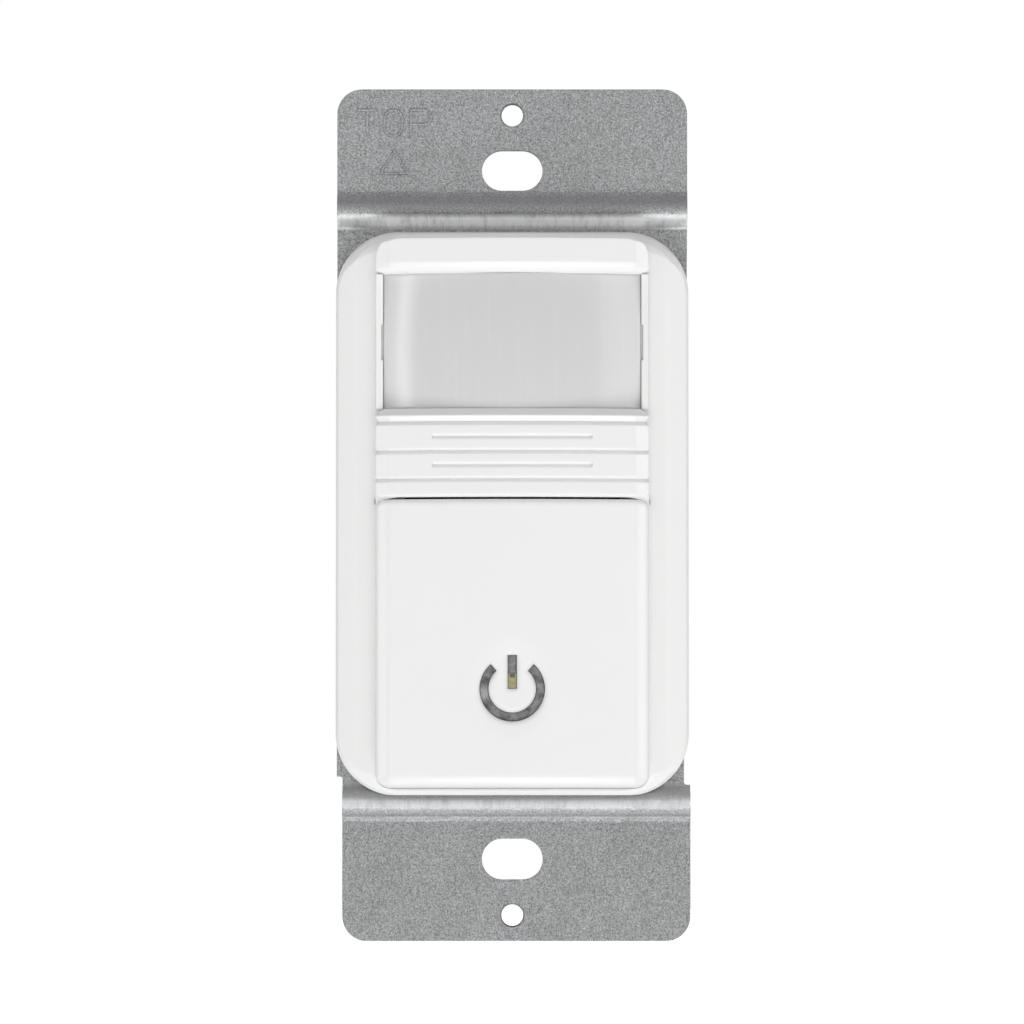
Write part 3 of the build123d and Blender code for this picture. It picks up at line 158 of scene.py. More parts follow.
def blend(tree, mask, first, second):
    """Mix of two colours by a mask; each is a socket or a colour of three numbers."""
    node = tree.nodes.new("ShaderNodeMix")
    node.data_type = "RGBA"
    tree.links.new(mask, node.inputs["Factor"])
    for label, colour in (("A", first), ("B", second)):
        if isinstance(colour, bpy.types.NodeSocket):
            tree.links.new(colour, colour_input(node, label))
        else:
            colour_input(node, label).default_value = (*colour, 1)
    return [socket for socket in node.outputs if socket.type == "RGBA"][0]


# ---- Shader groups: each puts out a value, a colour or a normal that changes over the surface ----


def new_group(name, inputs, outputs):
    """Empty node group with its named sockets, and its input and output nodes."""
    group = bpy.data.node_groups.new(name, "ShaderNodeTree")
    for label, kind, value in inputs:
        group.interface.new_socket(label, in_out="INPUT", socket_type=kind).default_value = value
    for label, kind in outputs:
        group.interface.new_socket(label, in_out="OUTPUT", socket_type=kind)
    start = group.nodes.new("NodeGroupInput")
    end = group.nodes.new("NodeGroupOutput")
    return group, start, end


def mottle_group():
    """Cloudy change of tone: a colour lightened and darkened by a spread."""
    group, start, end = new_group(
        "mottle",
        [
            ("Colour", "NodeSocketColor", (0.8, 0.8, 0.8, 1)),
            ("Scale", "NodeSocketFloat", 300.0),
            ("Spread", "NodeSocketFloat", 0.05),
        ],
        [("Colour", "NodeSocketColor")],
    )
    cloud = noise(group, start.outputs["Scale"], 4.0, 0.6)
    swing = times(group, minus(group, cloud, 0.5), start.outputs["Spread"])
    tone = plus(group, times(group, swing, 2.0), 1.0)
    group.links.new(toned(group, start.outputs["Colour"], tone), end.inputs["Colour"])
    return group


def grain_group():
    """Fine moulded or rolled grain: its height, and a roughness that follows it."""
    group, start, end = new_group(
        "grain",
        [
            ("Scale", "NodeSocketFloat", 3000.0),
            ("Roughness", "NodeSocketFloat", 0.4),
            ("Spread", "NodeSocketFloat", 0.1),
        ],
        [("Height", "NodeSocketFloat"), ("Roughness", "NodeSocketFloat")],
    )
    grain = noise(group, start.outputs["Scale"], 3.0, 0.65)
    swing = times(group, minus(group, grain, 0.5), start.outputs["Spread"])
    roughness = plus(group, start.outputs["Roughness"], swing, clamp=True)
    group.links.new(grain, end.inputs["Height"])
    group.links.new(roughness, end.inputs["Roughness"])
    return group


def soft_edge_group():
    """Normal that rounds each edge over a radius, and how far it turns there."""
    group, start, end = new_group(
        "soft_edge",
        [("Radius", "NodeSocketFloat", 0.0003)],
        [("Normal", "NodeSocketVector"), ("Edge", "NodeSocketFloat")],
    )
    bevel = group.nodes.new("ShaderNodeBevel")
    bevel.samples = 6
    group.links.new(start.outputs["Radius"], bevel.inputs["Radius"])
    facing = group.nodes.new("ShaderNodeNewGeometry")
    turn = group.nodes.new("ShaderNodeVectorMath")
    turn.operation = "DOT_PRODUCT"
    group.links.new(bevel.outputs["Normal"], turn.inputs[0])
    group.links.new(facing.outputs["Normal"], turn.inputs[1])
    group.links.new(bevel.outputs["Normal"], end.inputs["Normal"])
    edge = minus(group, 1.0, turn.outputs["Value"], clamp=True)
    group.links.new(edge, end.inputs["Edge"])
    return group


def height_band_group():
    """Mask that is 1 between two heights on the object and fades over a width."""
    group, start, end = new_group(
        "height_band",
        [
            ("Low", "NodeSocketFloat", 0.0),
            ("High", "NodeSocketFloat", 0.001),
            ("Fade", "NodeSocketFloat", 0.0005),
        ],
        [("Mask", "NodeSocketFloat")],
    )
    height, fade = object_axes(group)["Z"], start.outputs["Fade"]
    over_low = minus(group, height, start.outputs["Low"])
    under_high = minus(group, start.outputs["High"], height)
    rise = maths(group, "DIVIDE", over_low, fade, clamp=True)
    fall = maths(group, "DIVIDE", under_high, fade, clamp=True)
    group.links.new(times(group, rise, fall), end.inputs["Mask"])
    return group


MOTTLE = mottle_group()
GRAIN = grain_group()
SOFT_EDGE = soft_edge_group()
HEIGHT_BAND = height_band_group()


def place_group(tree, group, **values):
    """Outputs of a group node, its values set by socket name."""
    node = tree.nodes.new("ShaderNodeGroup")
    node.node_tree = group
    for label, value in values.items():
        node.inputs[label].default_value = value
    return node.outputs


def clouded(tree, colour, scale, spread):
    """Colour with cloudy changes of tone."""
    return place_group(tree, MOTTLE, Colour=(*colour, 1), Scale=scale, Spread=spread)["Colour"]


def height_mask(tree, band):
    """Mask of one of the bands of tone."""
    foot, head, fade = (part * MM for part in band)
    return place_group(tree, HEIGHT_BAND, Low=foot, High=head, Fade=fade)["Mask"]


def bare_material(name):
    """New material with its Principled shader, ready to be linked."""
    material = bpy.data.materials.new(name)
    material.use_nodes = True
    return material, material.node_tree, material.node_tree.nodes["Principled BSDF"]


def surface_grain(tree, shader, scale, roughness, spread):
    """Grain whose roughness goes to the shader; gives back the grain's height."""
    grain = place_group(tree, GRAIN, Scale=scale, Roughness=roughness, Spread=spread)
    tree.links.new(grain["Roughness"], shader.inputs["Roughness"])
    return grain["Height"]


def relief(tree, shader, height, depth, normal=None):
    """Fine relief: a height of 0 to 1, its depth in metres, over a normal if one is given."""
    node = tree.nodes.new("ShaderNodeBump")
    node.inputs["Distance"].default_value = depth
    tree.links.new(height, node.inputs["Height"])
    if normal is not None:
        tree.links.new(normal, node.inputs["Normal"])
    tree.links.new(node.outputs["Normal"], shader.inputs["Normal"])


# ---- Finishes ----


def moulded_plastic(name, colour, roughness, spread=0.015, depth=0.000004, edge=0.0003):
    """Moulded plastic: faint clouding, a fine spark-eroded grain and rounded edges."""
    material, tree, shader = bare_material(name)
    tree.links.new(clouded(tree, colour, 120.0, spread), shader.inputs["Base Color"])
    grain = surface_grain(tree, shader, 3500.0, roughness, 0.08)
    rounded = place_group(tree, SOFT_EDGE, Radius=edge)
    relief(tree, shader, grain, depth, rounded["Normal"])
    return material


def white_moulding(name, edge):
    """White of the front, the paddle and the lips, which differ in how soft their edges are."""
    return moulded_plastic(name, WHITE, 0.3, 0.012, 0.0000015, edge)


def plated_metal(name, colour, roughness, metallic=1.0):
    """Plated or plain metal: cloudy tone, fine drawn grain and edges worn brighter."""
    material, tree, shader = bare_material(name)
    rounded = place_group(tree, SOFT_EDGE, Radius=0.0002)
    worn = times(tree, rounded["Edge"], 2.5, clamp=True)
    bright = tuple(min(1.0, part * 1.35) for part in colour)
    worn_metal = blend(tree, worn, clouded(tree, colour, 700.0, 0.12), bright)
    tree.links.new(worn_metal, shader.inputs["Base Color"])
    grain = surface_grain(tree, shader, 4500.0, roughness, 0.2)
    relief(tree, shader, grain, 0.000006, rounded["Normal"])
    shader.inputs["Metallic"].default_value = metallic
    return material


def zinc_sheet(tree, pepper):
    """Peppery grey of rolled zinc with its bright specks, a little darker on the lower ear."""
    blotch = clouded(tree, (0.248, 0.251, 0.254), 160.0, 0.12)
    pepper_tone = times(tree, minus(tree, pepper, 0.5), 2.8)
    rolled = noise(tree, 1.0, 4.0, 0.7, stretch=(3800.0, 1400.0, 900.0))
    rolled_tone = times(tree, minus(tree, rolled, 0.5), 0.5)
    tone = plus(tree, plus(tree, pepper_tone, rolled_tone), 1.0)
    sheet = toned(tree, blotch, maths(tree, "MAXIMUM", tone, 0.25))
    speck = noise(tree, 6400.0, 1.0, 0.5, stretch=(1, 1, 1.3))
    shine = times(tree, minus(tree, speck, 0.64), 7.0, clamp=True)
    speckled = blend(tree, times(tree, shine, 0.55), sheet, (0.70, 0.70, 0.71))
    low_ear = height_mask(tree, LOWER_EAR)
    return blend(tree, times(tree, low_ear, 0.08), speckled, (0.06, 0.06, 0.06))


def galvanised_strap():
    """Zinc-coated sheet: its two ridges carry die marks under a painted highlight, with painted
    shade on their bends.
    """
    material, tree, shader = bare_material("galvanised_strap")
    pepper = noise(tree, 5200.0, 2.0, 0.8)
    sheet = zinc_sheet(tree, pepper)

    # Short upright marks that the die leaves along the ridges, in patches
    marks = noise(tree, 1.0, 5.0, 0.75, stretch=(1900.0, 300.0, 500.0))
    patches = noise(tree, 1.0, 3.0, 0.6, stretch=(300.0, 100.0, 100.0))
    mark_tone = minus(tree, plus(tree, times(tree, marks, 1.6), patches), 0.42, clamp=True)

    # Rubbed bands: die marks with a painted highlight; the upper band's painted highlight is weaker
    # near the sides of the strap, where the lamps already light it
    reach = minus(tree, maths(tree, "ABSOLUTE", object_axes(tree)["X"]), 15.0 * MM)
    side_highlight_cut = times(tree, maths(tree, "DIVIDE", reach, 3.5 * MM, clamp=True), 0.45)
    wear_and_highlight = times(tree, plus(tree, mark_tone, 0.05), minus(tree, 1.0, side_highlight_cut))
    upper_rubbed_highlight = times(tree, height_mask(tree, UPPER_RIDGE_RUBBED_HIGHLIGHT), wear_and_highlight, clamp=True)
    lower_rubbed_highlight = times(tree, height_mask(tree, LOWER_RIDGE_RUBBED_HIGHLIGHT), mark_tone, clamp=True)
    rubbed_and_highlight = plus(tree, upper_rubbed_highlight, lower_rubbed_highlight, clamp=True)
    # Painted light on the lower ridge just under the front, lifting the shade that the front casts
    # on the strap there
    slope_painted_light = height_mask(tree, LOWER_RIDGE_PAINTED_LIGHT)
    colour = blend(tree, times(tree, slope_painted_light, 0.4), sheet, (0.55, 0.55, 0.56))
    # Painted highlight: the upper rubbed band is lightened almost to white
    colour = blend(tree, upper_rubbed_highlight, colour, (0.99, 0.99, 0.99))
    # Die marks and painted highlight on the lower ridge's bright band
    colour = blend(tree, lower_rubbed_highlight, colour, (0.54, 0.545, 0.55))

    # Painted shade on the upper and lower bends, and a painted highlight as a thin bright line
    # along the lower bend
    upper_bend_shade = times(tree, height_mask(tree, UPPER_BEND_PAINTED_SHADE), 0.75)
    lower_bend_shade = times(tree, height_mask(tree, LOWER_BEND_PAINTED_SHADE), 0.3)
    both_bends_shade = plus(tree, upper_bend_shade, lower_bend_shade, clamp=True)
    colour = blend(tree, both_bends_shade, colour, (0.15, 0.15, 0.155))
    # Painted highlight: a thin bright line along the lower bend, broken by the die marks
    bend_glint_mask = height_mask(tree, LOWER_BEND_HIGHLIGHT)
    bend_glint = times(tree, bend_glint_mask, times(tree, marks, patches))
    colour = blend(tree, bend_glint, colour, (0.60, 0.60, 0.61))
    tree.links.new(colour, shader.inputs["Base Color"])

    grain = place_group(tree, GRAIN, Scale=3600.0, Roughness=0.54, Spread=0.35)
    smoother = minus(tree, grain["Roughness"], times(tree, rubbed_and_highlight, 0.2), clamp=True)
    tree.links.new(smoother, shader.inputs["Roughness"])
    rounded = place_group(tree, SOFT_EDGE, Radius=0.00025)
    relief(tree, shader, pepper, 0.00002, rounded["Normal"])
    less_metallic = times(tree, plus(tree, upper_rubbed_highlight, slope_painted_light, clamp=True), 0.85)
    tree.links.new(minus(tree, 0.9, less_metallic, clamp=True), shader.inputs["Metallic"])
    return material


def sensor_lens():
    """Milky lens: fine upright columns of the Fresnel ribs inside show through its satin face."""
    material, tree, shader = bare_material("sensor_lens")
    milk = clouded(tree, (0.63, 0.63, 0.63), 90.0, 0.02)
    columns = noise(tree, 1.0, 2.0, 0.8, stretch=(1700.0, 1.0, 9.0))
    breaks = noise(tree, 1.0, 2.0, 0.5, stretch=(500.0, 1.0, 170.0))
    shown = times(tree, columns, breaks)
    column_tone = times(tree, minus(tree, shown, 0.25), 0.4, clamp=True)
    ribbed = blend(tree, column_tone, milk, (0.86, 0.86, 0.86))
    tree.links.new(ribbed, shader.inputs["Base Color"])
    surface_grain(tree, shader, 3000.0, 0.16, 0.06)
    rounded = place_group(tree, SOFT_EDGE, Radius=0.0002)
    relief(tree, shader, columns, 0.000003, rounded["Normal"])
    shader.inputs["Specular IOR Level"].default_value = 1.0
    return material


def smoke_symbol():
    """Smoky clear moulding: painted shade along its rounded edges, cloudy inside, the lamp's warm
    grey in the bar.
    """
    material, tree, shader = bare_material("smoke_symbol")
    place = object_axes(tree)
    off_middle = maths(tree, "ABSOLUTE", place["X"])
    colour = clouded(tree, (0.155, 0.155, 0.155), 1100.0, 2.0)

    # Paler cloud where the left arm of the ring lies over the stem
    left_arm = maths(tree, "LESS_THAN", place["X"], -2.0 * MM)
    cloud = times(tree, times(tree, left_arm, height_mask(tree, SYMBOL_CLOUD)), 0.55)
    colour = blend(tree, cloud, colour, (0.46, 0.46, 0.46))

    # The lamp shows in the lower half of the bar, with a dark seam above it
    bar = maths(tree, "LESS_THAN", off_middle, 0.7 * MM)
    below_top = maths(tree, "LESS_THAN", place["Z"], SYMBOL_LAMP_TOP * MM)
    above_foot = maths(tree, "GREATER_THAN", place["Z"], (SYMBOL_Z - 0.1) * MM)
    lit = times(tree, times(tree, bar, below_top), above_foot)
    lamp_light = clouded(tree, (0.36, 0.33, 0.165), 1100.0, 0.6)
    colour = blend(tree, lit, colour, lamp_light)
    seam_width = maths(tree, "LESS_THAN", off_middle, 0.3 * MM)
    seam = times(tree, height_mask(tree, SYMBOL_SEAM), seam_width)
    colour = blend(tree, seam, colour, (0.09, 0.09, 0.09))

    # Painted shade: the rounded edges of the symbol are darkened almost to black
    rim = place_group(tree, SOFT_EDGE, Radius=0.00022)
    painted_edge_shade = times(tree, times(tree, rim["Edge"], 10.0, clamp=True), 0.8)
    tree.links.new(blend(tree, painted_edge_shade, colour, (0.03, 0.03, 0.03)), shader.inputs["Base Color"])
    relief(tree, shader, surface_grain(tree, shader, 2500.0, 0.22, 0.1), 0.000004)
    return material


def circuit_laminate():
    """Green solder mask over the cloth of the laminate, with paler copper runs under it."""
    material, tree, shader = bare_material("circuit_laminate")
    mask_green = clouded(tree, (0.025, 0.16, 0.07), 500.0, 0.2)
    runs = tree.nodes.new("ShaderNodeTexBrick")
    runs.inputs["Scale"].default_value = 260.0
    runs.inputs["Mortar Size"].default_value = 0.06
    runs.inputs["Color1"].default_value = (0, 0, 0, 1)
    runs.inputs["Color2"].default_value = (0, 0, 0, 1)
    runs.inputs["Mortar"].default_value = (1, 1, 1, 1)
    upright = tree.nodes.new("ShaderNodeMapping")
    upright.inputs["Rotation"].default_value = (math.radians(90), 0, 0)
    tree.links.new(object_point(tree), upright.inputs["Vector"])
    tree.links.new(upright.outputs["Vector"], runs.inputs["Vector"])
    printed = blend(tree, runs.outputs["Color"], mask_green, (0.07, 0.30, 0.13))
    tree.links.new(printed, shader.inputs["Base Color"])
    relief(tree, shader, surface_grain(tree, shader, 1800.0, 0.35, 0.12), 0.00001)
    return material


FINISHES = {
    "strap_steel": galvanised_strap(),
    "white_plastic": white_moulding("white_moulding", 0.0003),
    "lens_plastic": sensor_lens(),
    "smoke_plastic": smoke_symbol(),
    "lamp_resin": moulded_plastic("lamp_resin", (0.75, 0.72, 0.45), 0.2, 0.06),
    "board_laminate": circuit_laminate(),
    "dark_resin": moulded_plastic("dark_resin", (0.035, 0.035, 0.037), 0.45, 0.2),
    "switch_plastic": moulded_plastic("switch_plastic", (0.05, 0.05, 0.052), 0.4, 0.15),
    "plated_sheet": plated_metal("plated_sheet", (0.70, 0.70, 0.69), 0.3),
    "filter_glass": moulded_plastic("filter_glass", (0.06, 0.045, 0.07), 0.1, 0.1, 0.000001),
    "spacer_plastic": moulded_plastic("spacer_plastic", (0.72, 0.72, 0.70), 0.45, 0.04),
    "chip_ceramic": moulded_plastic("chip_ceramic", (0.55, 0.45, 0.33), 0.5, 0.12),
    "gold_plate": plated_metal("gold_plate", (0.83, 0.62, 0.25), 0.25),
    "relay_case": moulded_plastic("relay_case", (0.04, 0.09, 0.26), 0.4, 0.08),
    "film_case": moulded_plastic("film_case", (0.70, 0.52, 0.08), 0.42, 0.08),
    "sleeve_film": moulded_plastic("sleeve_film", (0.03, 0.03, 0.05), 0.25, 0.15),
    "disc_coating": moulded_plastic("disc_coating", (0.04, 0.12, 0.36), 0.5, 0.15, 0.00001),
    "rod_coating": moulded_plastic("rod_coating", (0.30, 0.42, 0.50), 0.5, 0.12, 0.00001),
    "housing_plastic": moulded_plastic(
        "housing_plastic", (0.045, 0.045, 0.047), 0.5, 0.18, 0.00001
    ),
    "brass": plated_metal("brass", (0.72, 0.52, 0.22), 0.32),
    "nickel_plate": plated_metal("nickel_plate", (0.66, 0.65, 0.62), 0.28),
    "green_screw": plated_metal("green_screw", (0.05, 0.30, 0.11), 0.35, metallic=0.7),
    "zinc_screw": plated_metal("zinc_screw", (0.58, 0.58, 0.57), 0.34),
}
PADDLE_WHITE = white_moulding("paddle_moulding", 0.0011)
LIP_WHITE = white_moulding("lip_moulding", 0.00001)


def dress_nodes():
    """Every carried-over node takes the finish of the slot that the record gives it, but the paddle
    takes its own white with softer edges.
    """
    slots = {part["node"]: part["material_slot"] for part in frame["record"]["subparts"]}
    for name, obj in nodes.items():
        material = PADDLE_WHITE if name == "paddle" else FINISHES[slots[name]]
        obj.data.materials.clear()
        obj.data.materials.append(material)


# ---- Small pieces that the solids leave out, in millimetres ----


def mesh_piece(name, mesh, finish, material=None):
    """Finished mesh as a piece of the fixed body."""
    bmesh.ops.recalc_face_normals(mesh, faces=mesh.faces)
    data = bpy.data.meshes.new(name)
    mesh.to_mesh(data)
    mesh.free()
    obj = bpy.data.objects.new(name, data)
    bpy.context.scene.collection.objects.link(obj)
    obj.data.materials.append(material or FINISHES[finish])
    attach(obj, "body")


def raised_lines(name, strokes, radius, proud):
    """Thin lines embossed on the upper ear, each stroke a run of places (x, z)."""
    curve = bpy.data.curves.new(name, "CURVE")
    curve.dimensions = "3D"
    curve.bevel_depth = radius * MM
    curve.bevel_resolution = 3
    curve.use_fill_caps = True
    for stroke in strokes:
        spline = curve.splines.new("POLY")
        spline.points.add(len(stroke) - 1)
        for point, (x, z) in zip(spline.points, stroke):
            point.co = (x * MM, (EAR_FRONT + radius - proud) * MM, z * MM, 1)
    obj = bpy.data.objects.new(name, curve)
    bpy.context.scene.collection.objects.link(obj)
    obj.data.materials.append(FINISHES["strap_steel"])
    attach(obj, "body")


def arc_points(x, z, radius, start, end, up=None):
    """Places on an arc in steps of 15 degrees, its angles measured from straight up."""
    up = radius if up is None else up
    return [
        (x + radius * math.sin(math.radians(a)), z + up * math.cos(math.radians(a)))
        for a in range(start, end + 1, 15)
    ]


def ear_word():
    """The word TOP on the upper ear."""
    foot, head = 45.9, 49.05
    t_stem, t_left, t_right = -17.55, -18.75, -16.4
    o_middle, o_radius = -14.4, 1.08
    p_stem, p_bar, p_bowl = -12.3, 1.6, 0.875
    raised_lines(
        "ear_word",
        [
            [(t_left, head), (t_right, head)],
            [(t_stem, head), (t_stem, foot)],
            [(p_stem, foot), (p_stem, head + 0.1)],
            [(p_stem, head), (p_stem + p_bar, head)],
            [(p_stem, head - 2 * p_bowl), (p_stem + p_bar, head - 2 * p_bowl)],
            arc_points(p_stem + p_bar, head - p_bowl, 0.87, 0, 180, up=p_bowl),
            arc_points(o_middle, head - o_radius, o_radius, -90, 90),
            arc_points(o_middle, foot + o_radius, o_radius, 90, 270),
            [(o_middle + o_radius, foot + o_radius), (o_middle + o_radius, head - o_radius)],
            [(o_middle - o_radius, foot + o_radius), (o_middle - o_radius, head - o_radius)],
        ],
        radius=0.2,
        proud=0.16,
    )


def triangle_rim():
    """Embossed outline of the pointer triangle below the word."""
    x, foot, half, rise = -14.3, 41.3, 1.65, 2.8
    left, right, top = (x - half, foot), (x + half, foot), (x, foot + rise)
    raised_lines(
        "triangle_rim", [[left, right], [right, top], [top, left]], radius=0.16, proud=0.28
    )


def hole_thread(name, z):
    """Fine thread in a plate-screw hole: a low helical ridge on its wall."""
    mesh = bmesh.new()
    turns, steps, pitch, half_width = 1.6, 48, 0.62, 0.26
    inside_metal, ridge, first_turn = 0.02, 0.17, 0.12
    profile = [(inside_metal, -half_width), (-ridge, 0.0), (inside_metal, half_width)]
    front, back = EAR_FRONT + 0.02, -0.02
    rings = []
    for step in range(int(turns * steps) + 1):
        angle = 2 * math.pi * step / steps
        middle = EAR_FRONT + first_turn + pitch * step / steps
        ring = []
        for inset, along in profile:
            radius = PLATE_HOLE_RADIUS + inset
            x, y = radius * math.cos(angle), min(max(middle + along, front), back)
            height = z + radius * math.sin(angle)
            ring.append(mesh.verts.new((x * MM, y * MM, height * MM)))
        rings.append(ring)
    for first, second in zip(rings[:-1], rings[1:]):
        for side in range(len(profile) - 1):
            mesh.faces.new((first[side], first[side + 1], second[side + 1], second[side]))
    mesh_piece(name, mesh, "strap_steel")


def rim_strip(name, stations, finish, material=None, closed=False):
    """Thin strip along a gap; each station is inner (x, z), outer (x, z), front and depth."""
    mesh = bmesh.new()
    rings = []
    for (inner_x, inner_z), (outer_x, outer_z), front, depth in stations:
        corners = (
            (inner_x, -front, inner_z), (outer_x, -front, outer_z),
            (outer_x, depth - front, outer_z), (inner_x, depth - front, inner_z),
        )
        rings.append([mesh.verts.new(Vector(corner) * MM) for corner in corners])
    pairs = list(zip(rings[:-1], rings[1:]))
    if closed:
        pairs.append((rings[-1], rings[0]))
    else:
        mesh.faces.new(rings[0])
        mesh.faces.new(rings[-1])
    for first, second in pairs:
        for side in range(4):
            after = (side + 1) % 4
            mesh.faces.new((first[side], first[after], second[after], second[side]))
    mesh_piece(name, mesh, finish, material)


def paddle_gap_lip():
    """Lip of the front down both sides of the paddle and under it, clear of the paddle's tilt."""
    corner, depth = 1.7, 0.6
    side_gap, foot_gap = 0.012, 0.057
    side_lap, foot_lap = 0.38, 0.29
    side_front, foot_front = 4.405, 3.76
    corner_z = PADDLE_BOTTOM + corner
    turns = range(0, 91, 15)
    path = [(1, 1.0, 0), (1, -10.0, 0), (1, -20.0, 0)]
    path += [(1, corner_z, turn) for turn in turns]
    path += [(0, corner_z, 90)]
    path += [(-1, corner_z, turn) for turn in reversed(turns)]
    path += [(-1, -20.0, 0), (-1, -10.0, 0), (-1, 1.0, 0)]
    stations = []
    for side, z, turn in path:
        across, down = math.cos(math.radians(turn)), math.sin(math.radians(turn))
        x = side * (PADDLE_HALF - corner)
        foot_share = min(1.0, 3 * down)
        near = corner + side_gap + (foot_gap - side_gap) * foot_share
        far = corner + side_lap + (foot_lap - side_lap) * foot_share
        stations.append((
            (x + side * near * across, z - near * down),
            (x + side * far * across, z - far * down),
            side_front + (foot_front - side_front) * down ** 2,
            depth,
        ))
    rim_strip("paddle_gap_lip", stations, "white_plastic", LIP_WHITE)


def paddle_head_lip():
    """Lip above the paddle's top edge, closer at its two corners."""
    corner, depth, set_back = 1.0, 0.9, 0.5
    band_middle, band_end, crown_radius, end_x, end_slope = 9.3, 8.0, 86.0, 14.85, 1.6
    corner_gap, middle_gap, gap_x, gap_change = 0.04, 0.29, 15.4, 1.8
    head = LIP_HEIGHT + 0.12
    half = [-16.45, -16.2, -15.8, -15.4, -14.9, -14.3, -13.6, -12.0, -6.0]
    stations = []
    for x in half + [0.0] + [-place for place in reversed(half)]:
        reach = abs(x)
        past_corner = min(corner, max(0.0, reach - (PADDLE_HALF - corner)))
        edge = PADDLE_TOP - corner + math.sqrt(corner ** 2 - past_corner ** 2)
        middle_share = min(1.0, max(0.0, (gap_x - reach) / gap_change))
        gap = corner_gap + (middle_gap - corner_gap) * middle_share
        if reach < end_x:
            front = band_middle - reach ** 2 / (2 * crown_radius)
        else:
            front = band_end - (reach - end_x) / end_slope
        stations.append(((x, edge + gap), (x, head), front - set_back, depth))
    rim_strip("paddle_head_lip", stations, "white_plastic", LIP_WHITE)


def lens_bead():
    """Milky bead that the lens sits in, in the gap round its edge and behind its snap tabs."""
    lap, gap_middle, depth = 0.06, 0.05, 0.4
    tab_reach, tab_set_back, head_proud = 0.3, 0.3, 0.02
    lens_front, sweep_radius, dome_radius = 8.9, 47.0, 48.0
    lens_middle = (LENS_FOOT + LENS_HEAD) / 2
    long_steps, short_steps = 16, 8
    left, right = -LENS_HALF - gap_middle, LENS_HALF + gap_middle
    foot, head = LENS_FOOT - gap_middle, LENS_HEAD + gap_middle
    stations = []

    def add_station(inner, outer, at, set_back):
        x, z = at
        sweep = sweep_radius - math.sqrt(sweep_radius ** 2 - x ** 2)
        rise = dome_radius - math.sqrt(dome_radius ** 2 - (z - lens_middle) ** 2)
        stations.append((inner, outer, lens_front - sweep - rise - set_back, depth))

    for place in range(long_steps + 1):
        x = left + (right - left) * place / long_steps
        add_station((x, foot + lap), (x, foot - lap), (x, foot), 0.0)
    for place in range(short_steps + 1):
        z = foot + (head - foot) * place / short_steps
        add_station((right - lap, z), (right + tab_reach, z), (right, z), tab_set_back)
    for place in range(long_steps + 1):
        x = right - (right - left) * place / long_steps
        add_station((x, head - lap), (x, head + lap), (x, head), -head_proud)
    for place in range(short_steps + 1):
        z = head - (head - foot) * place / short_steps
        add_station((left + lap, z), (left - tab_reach, z), (left, z), tab_set_back)
    rim_strip("lens_bead", stations, "lens_plastic", closed=True)


dress_nodes()
ear_word()
triangle_rim()
paddle_gap_lip()
paddle_head_lip()
lens_bead()
hole_thread("upper_hole_thread", PLATE_HOLES[0])
hole_thread("lower_hole_thread", PLATE_HOLES[1])


# ---- Studio ----


def white_world():
    """White behind the object for the camera and in reflections; a softer white as fill light."""
    world = bpy.data.worlds.new("studio")
    world.use_nodes = True
    bpy.context.scene.world = world
    tree = world.node_tree
    background = tree.nodes["Background"]
    background.inputs["Color"].default_value = (1, 1, 1, 1)
    rays = tree.nodes.new("ShaderNodeLightPath").outputs
    mirrored = maths(tree, "MAXIMUM", rays["Is Glossy Ray"], rays["Is Transmission Ray"])
    shown = maths(tree, "MAXIMUM", rays["Is Camera Ray"], mirrored)
    fill = 0.3
    strength = plus(tree, times(tree, shown, 1.0 - fill), fill)
    tree.links.new(strength, background.inputs["Strength"])


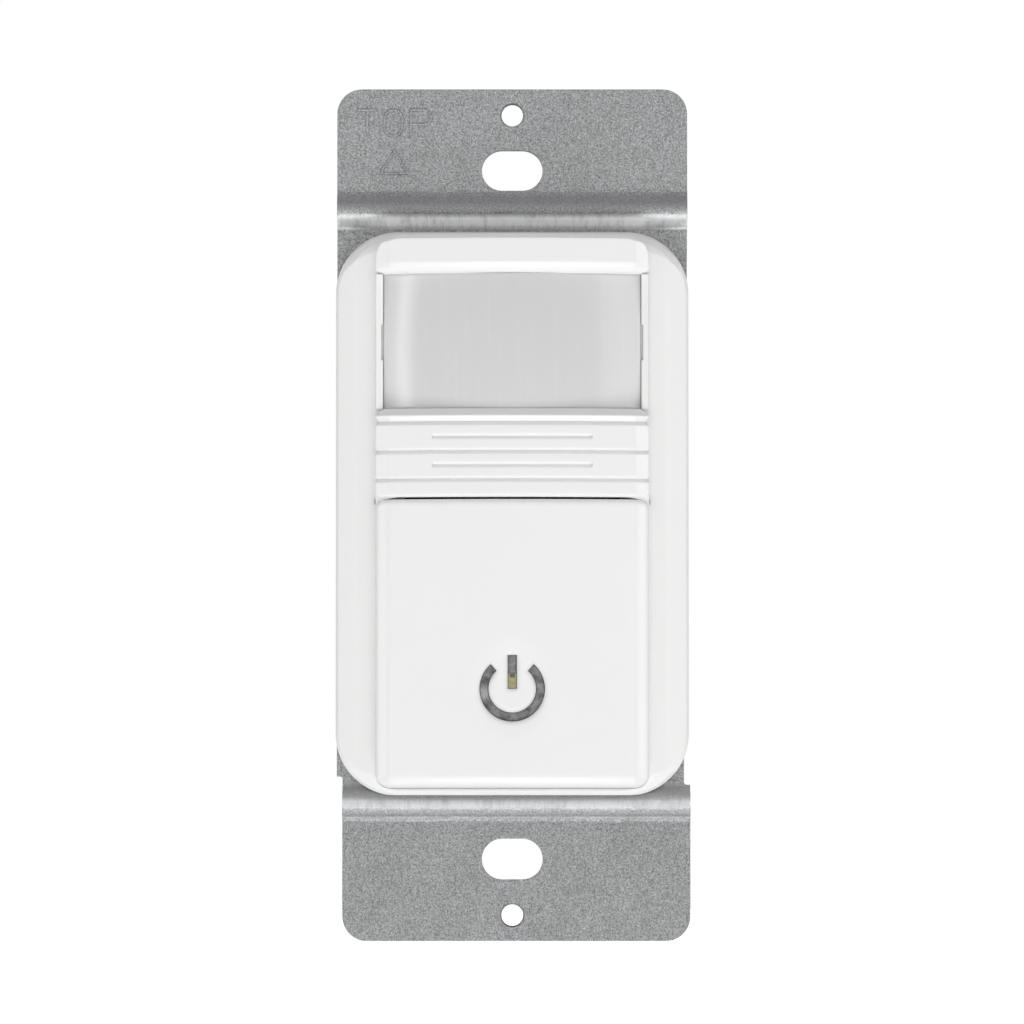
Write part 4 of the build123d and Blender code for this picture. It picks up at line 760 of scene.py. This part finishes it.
def pale_floor():
    """Plain pale floor under the lower ear, which the camera sees as white."""
    mesh = bpy.data.meshes.new("floor")
    half = 0.6
    low = cad_box[0][2]
    mesh.from_pydata(
        [(-half, -half, low), (half, -half, low), (half, half, low), (-half, half, low)],
        [], [(0, 1, 2, 3)],
    )
    floor = bpy.data.objects.new("floor", mesh)
    bpy.context.scene.collection.objects.link(floor)
    material, tree, shader = bare_material("floor_paint")
    tree.links.new(clouded(tree, (0.9, 0.9, 0.9), 3.0, 0.01), shader.inputs["Base Color"])
    shader.inputs["Roughness"].default_value = 0.9
    shader.inputs["Specular IOR Level"].default_value = 0.0
    shader.inputs["Emission Color"].default_value = (1, 1, 1, 1)
    glow = 0.66
    rays = tree.nodes.new("ShaderNodeLightPath").outputs
    shown = maths(tree, "MAXIMUM", rays["Is Camera Ray"], rays["Is Glossy Ray"])
    tree.links.new(times(tree, shown, glow), shader.inputs["Emission Strength"])
    floor.data.materials.append(material)
    floor.visible_shadow = False
    floor.visible_glossy = False


def lamp(name, turn, rise, size, power):
    """Soft lamp a metre from the object, turned to its middle; angles are from straight ahead."""
    data = bpy.data.lights.new(name, "AREA")
    data.shape = "RECTANGLE"
    data.size, data.size_y = size
    data.energy = power
    obj = bpy.data.objects.new(name, data)
    bpy.context.scene.collection.objects.link(obj)
    across, up = math.radians(turn), math.radians(rise)
    obj.location = (
        math.sin(across) * math.cos(up), -math.cos(across) * math.cos(up), math.sin(up)
    )
    obj.rotation_euler = (-obj.location).to_track_quat("-Z", "Y").to_euler()


def studio_lamps():
    """Soft lamps low in front, a strip at each side, and fill from behind for the other views."""
    lamp("main_front", 6, -36, (0.5, 0.3), 0.9)
    lamp("front_fill", 6, 4, (1.3, 1.0), 1.0)
    lamp("below_front", 2, -52, (0.5, 0.4), 3.8)
    lamp("below", 0, -75, (0.8, 0.4), 0.5)
    lamp("above", 0, 62, (0.6, 0.4), 0.5)
    lamp("right_strip", 64, 0, (0.06, 0.7), 1.9)
    lamp("right_card", 35, 0, (0.24, 0.9), 0.7)
    lamp("left_strip", -64, 0, (0.06, 0.7), 1.4)
    lamp("lens_strip", -34, 0, (0.06, 0.9), 0.75)
    lamp("back_fill", 180, 34, (0.9, 0.9), 4.0)


def photo_camera():
    """Long lens a little below the middle of the object, aimed slightly up, as in the photo."""
    distance, tilt = 0.9, math.radians(2.7)
    aim = Vector((-0.00003, 0.0, 0.00031))
    data = bpy.data.cameras.new("camera")
    data.sensor_width = 36.0
    data.lens = 261.3
    camera = bpy.data.objects.new("camera", data)
    bpy.context.scene.collection.objects.link(camera)
    camera.location = aim + Vector((0, -distance * math.cos(tilt), -distance * math.sin(tilt)))
    camera.rotation_euler = (aim - camera.location).to_track_quat("-Z", "Y").to_euler()
    bpy.context.scene.camera = camera


white_world()
pale_floor()
studio_lamps()
photo_camera()
bpy.context.scene.view_settings.view_transform = "Standard"
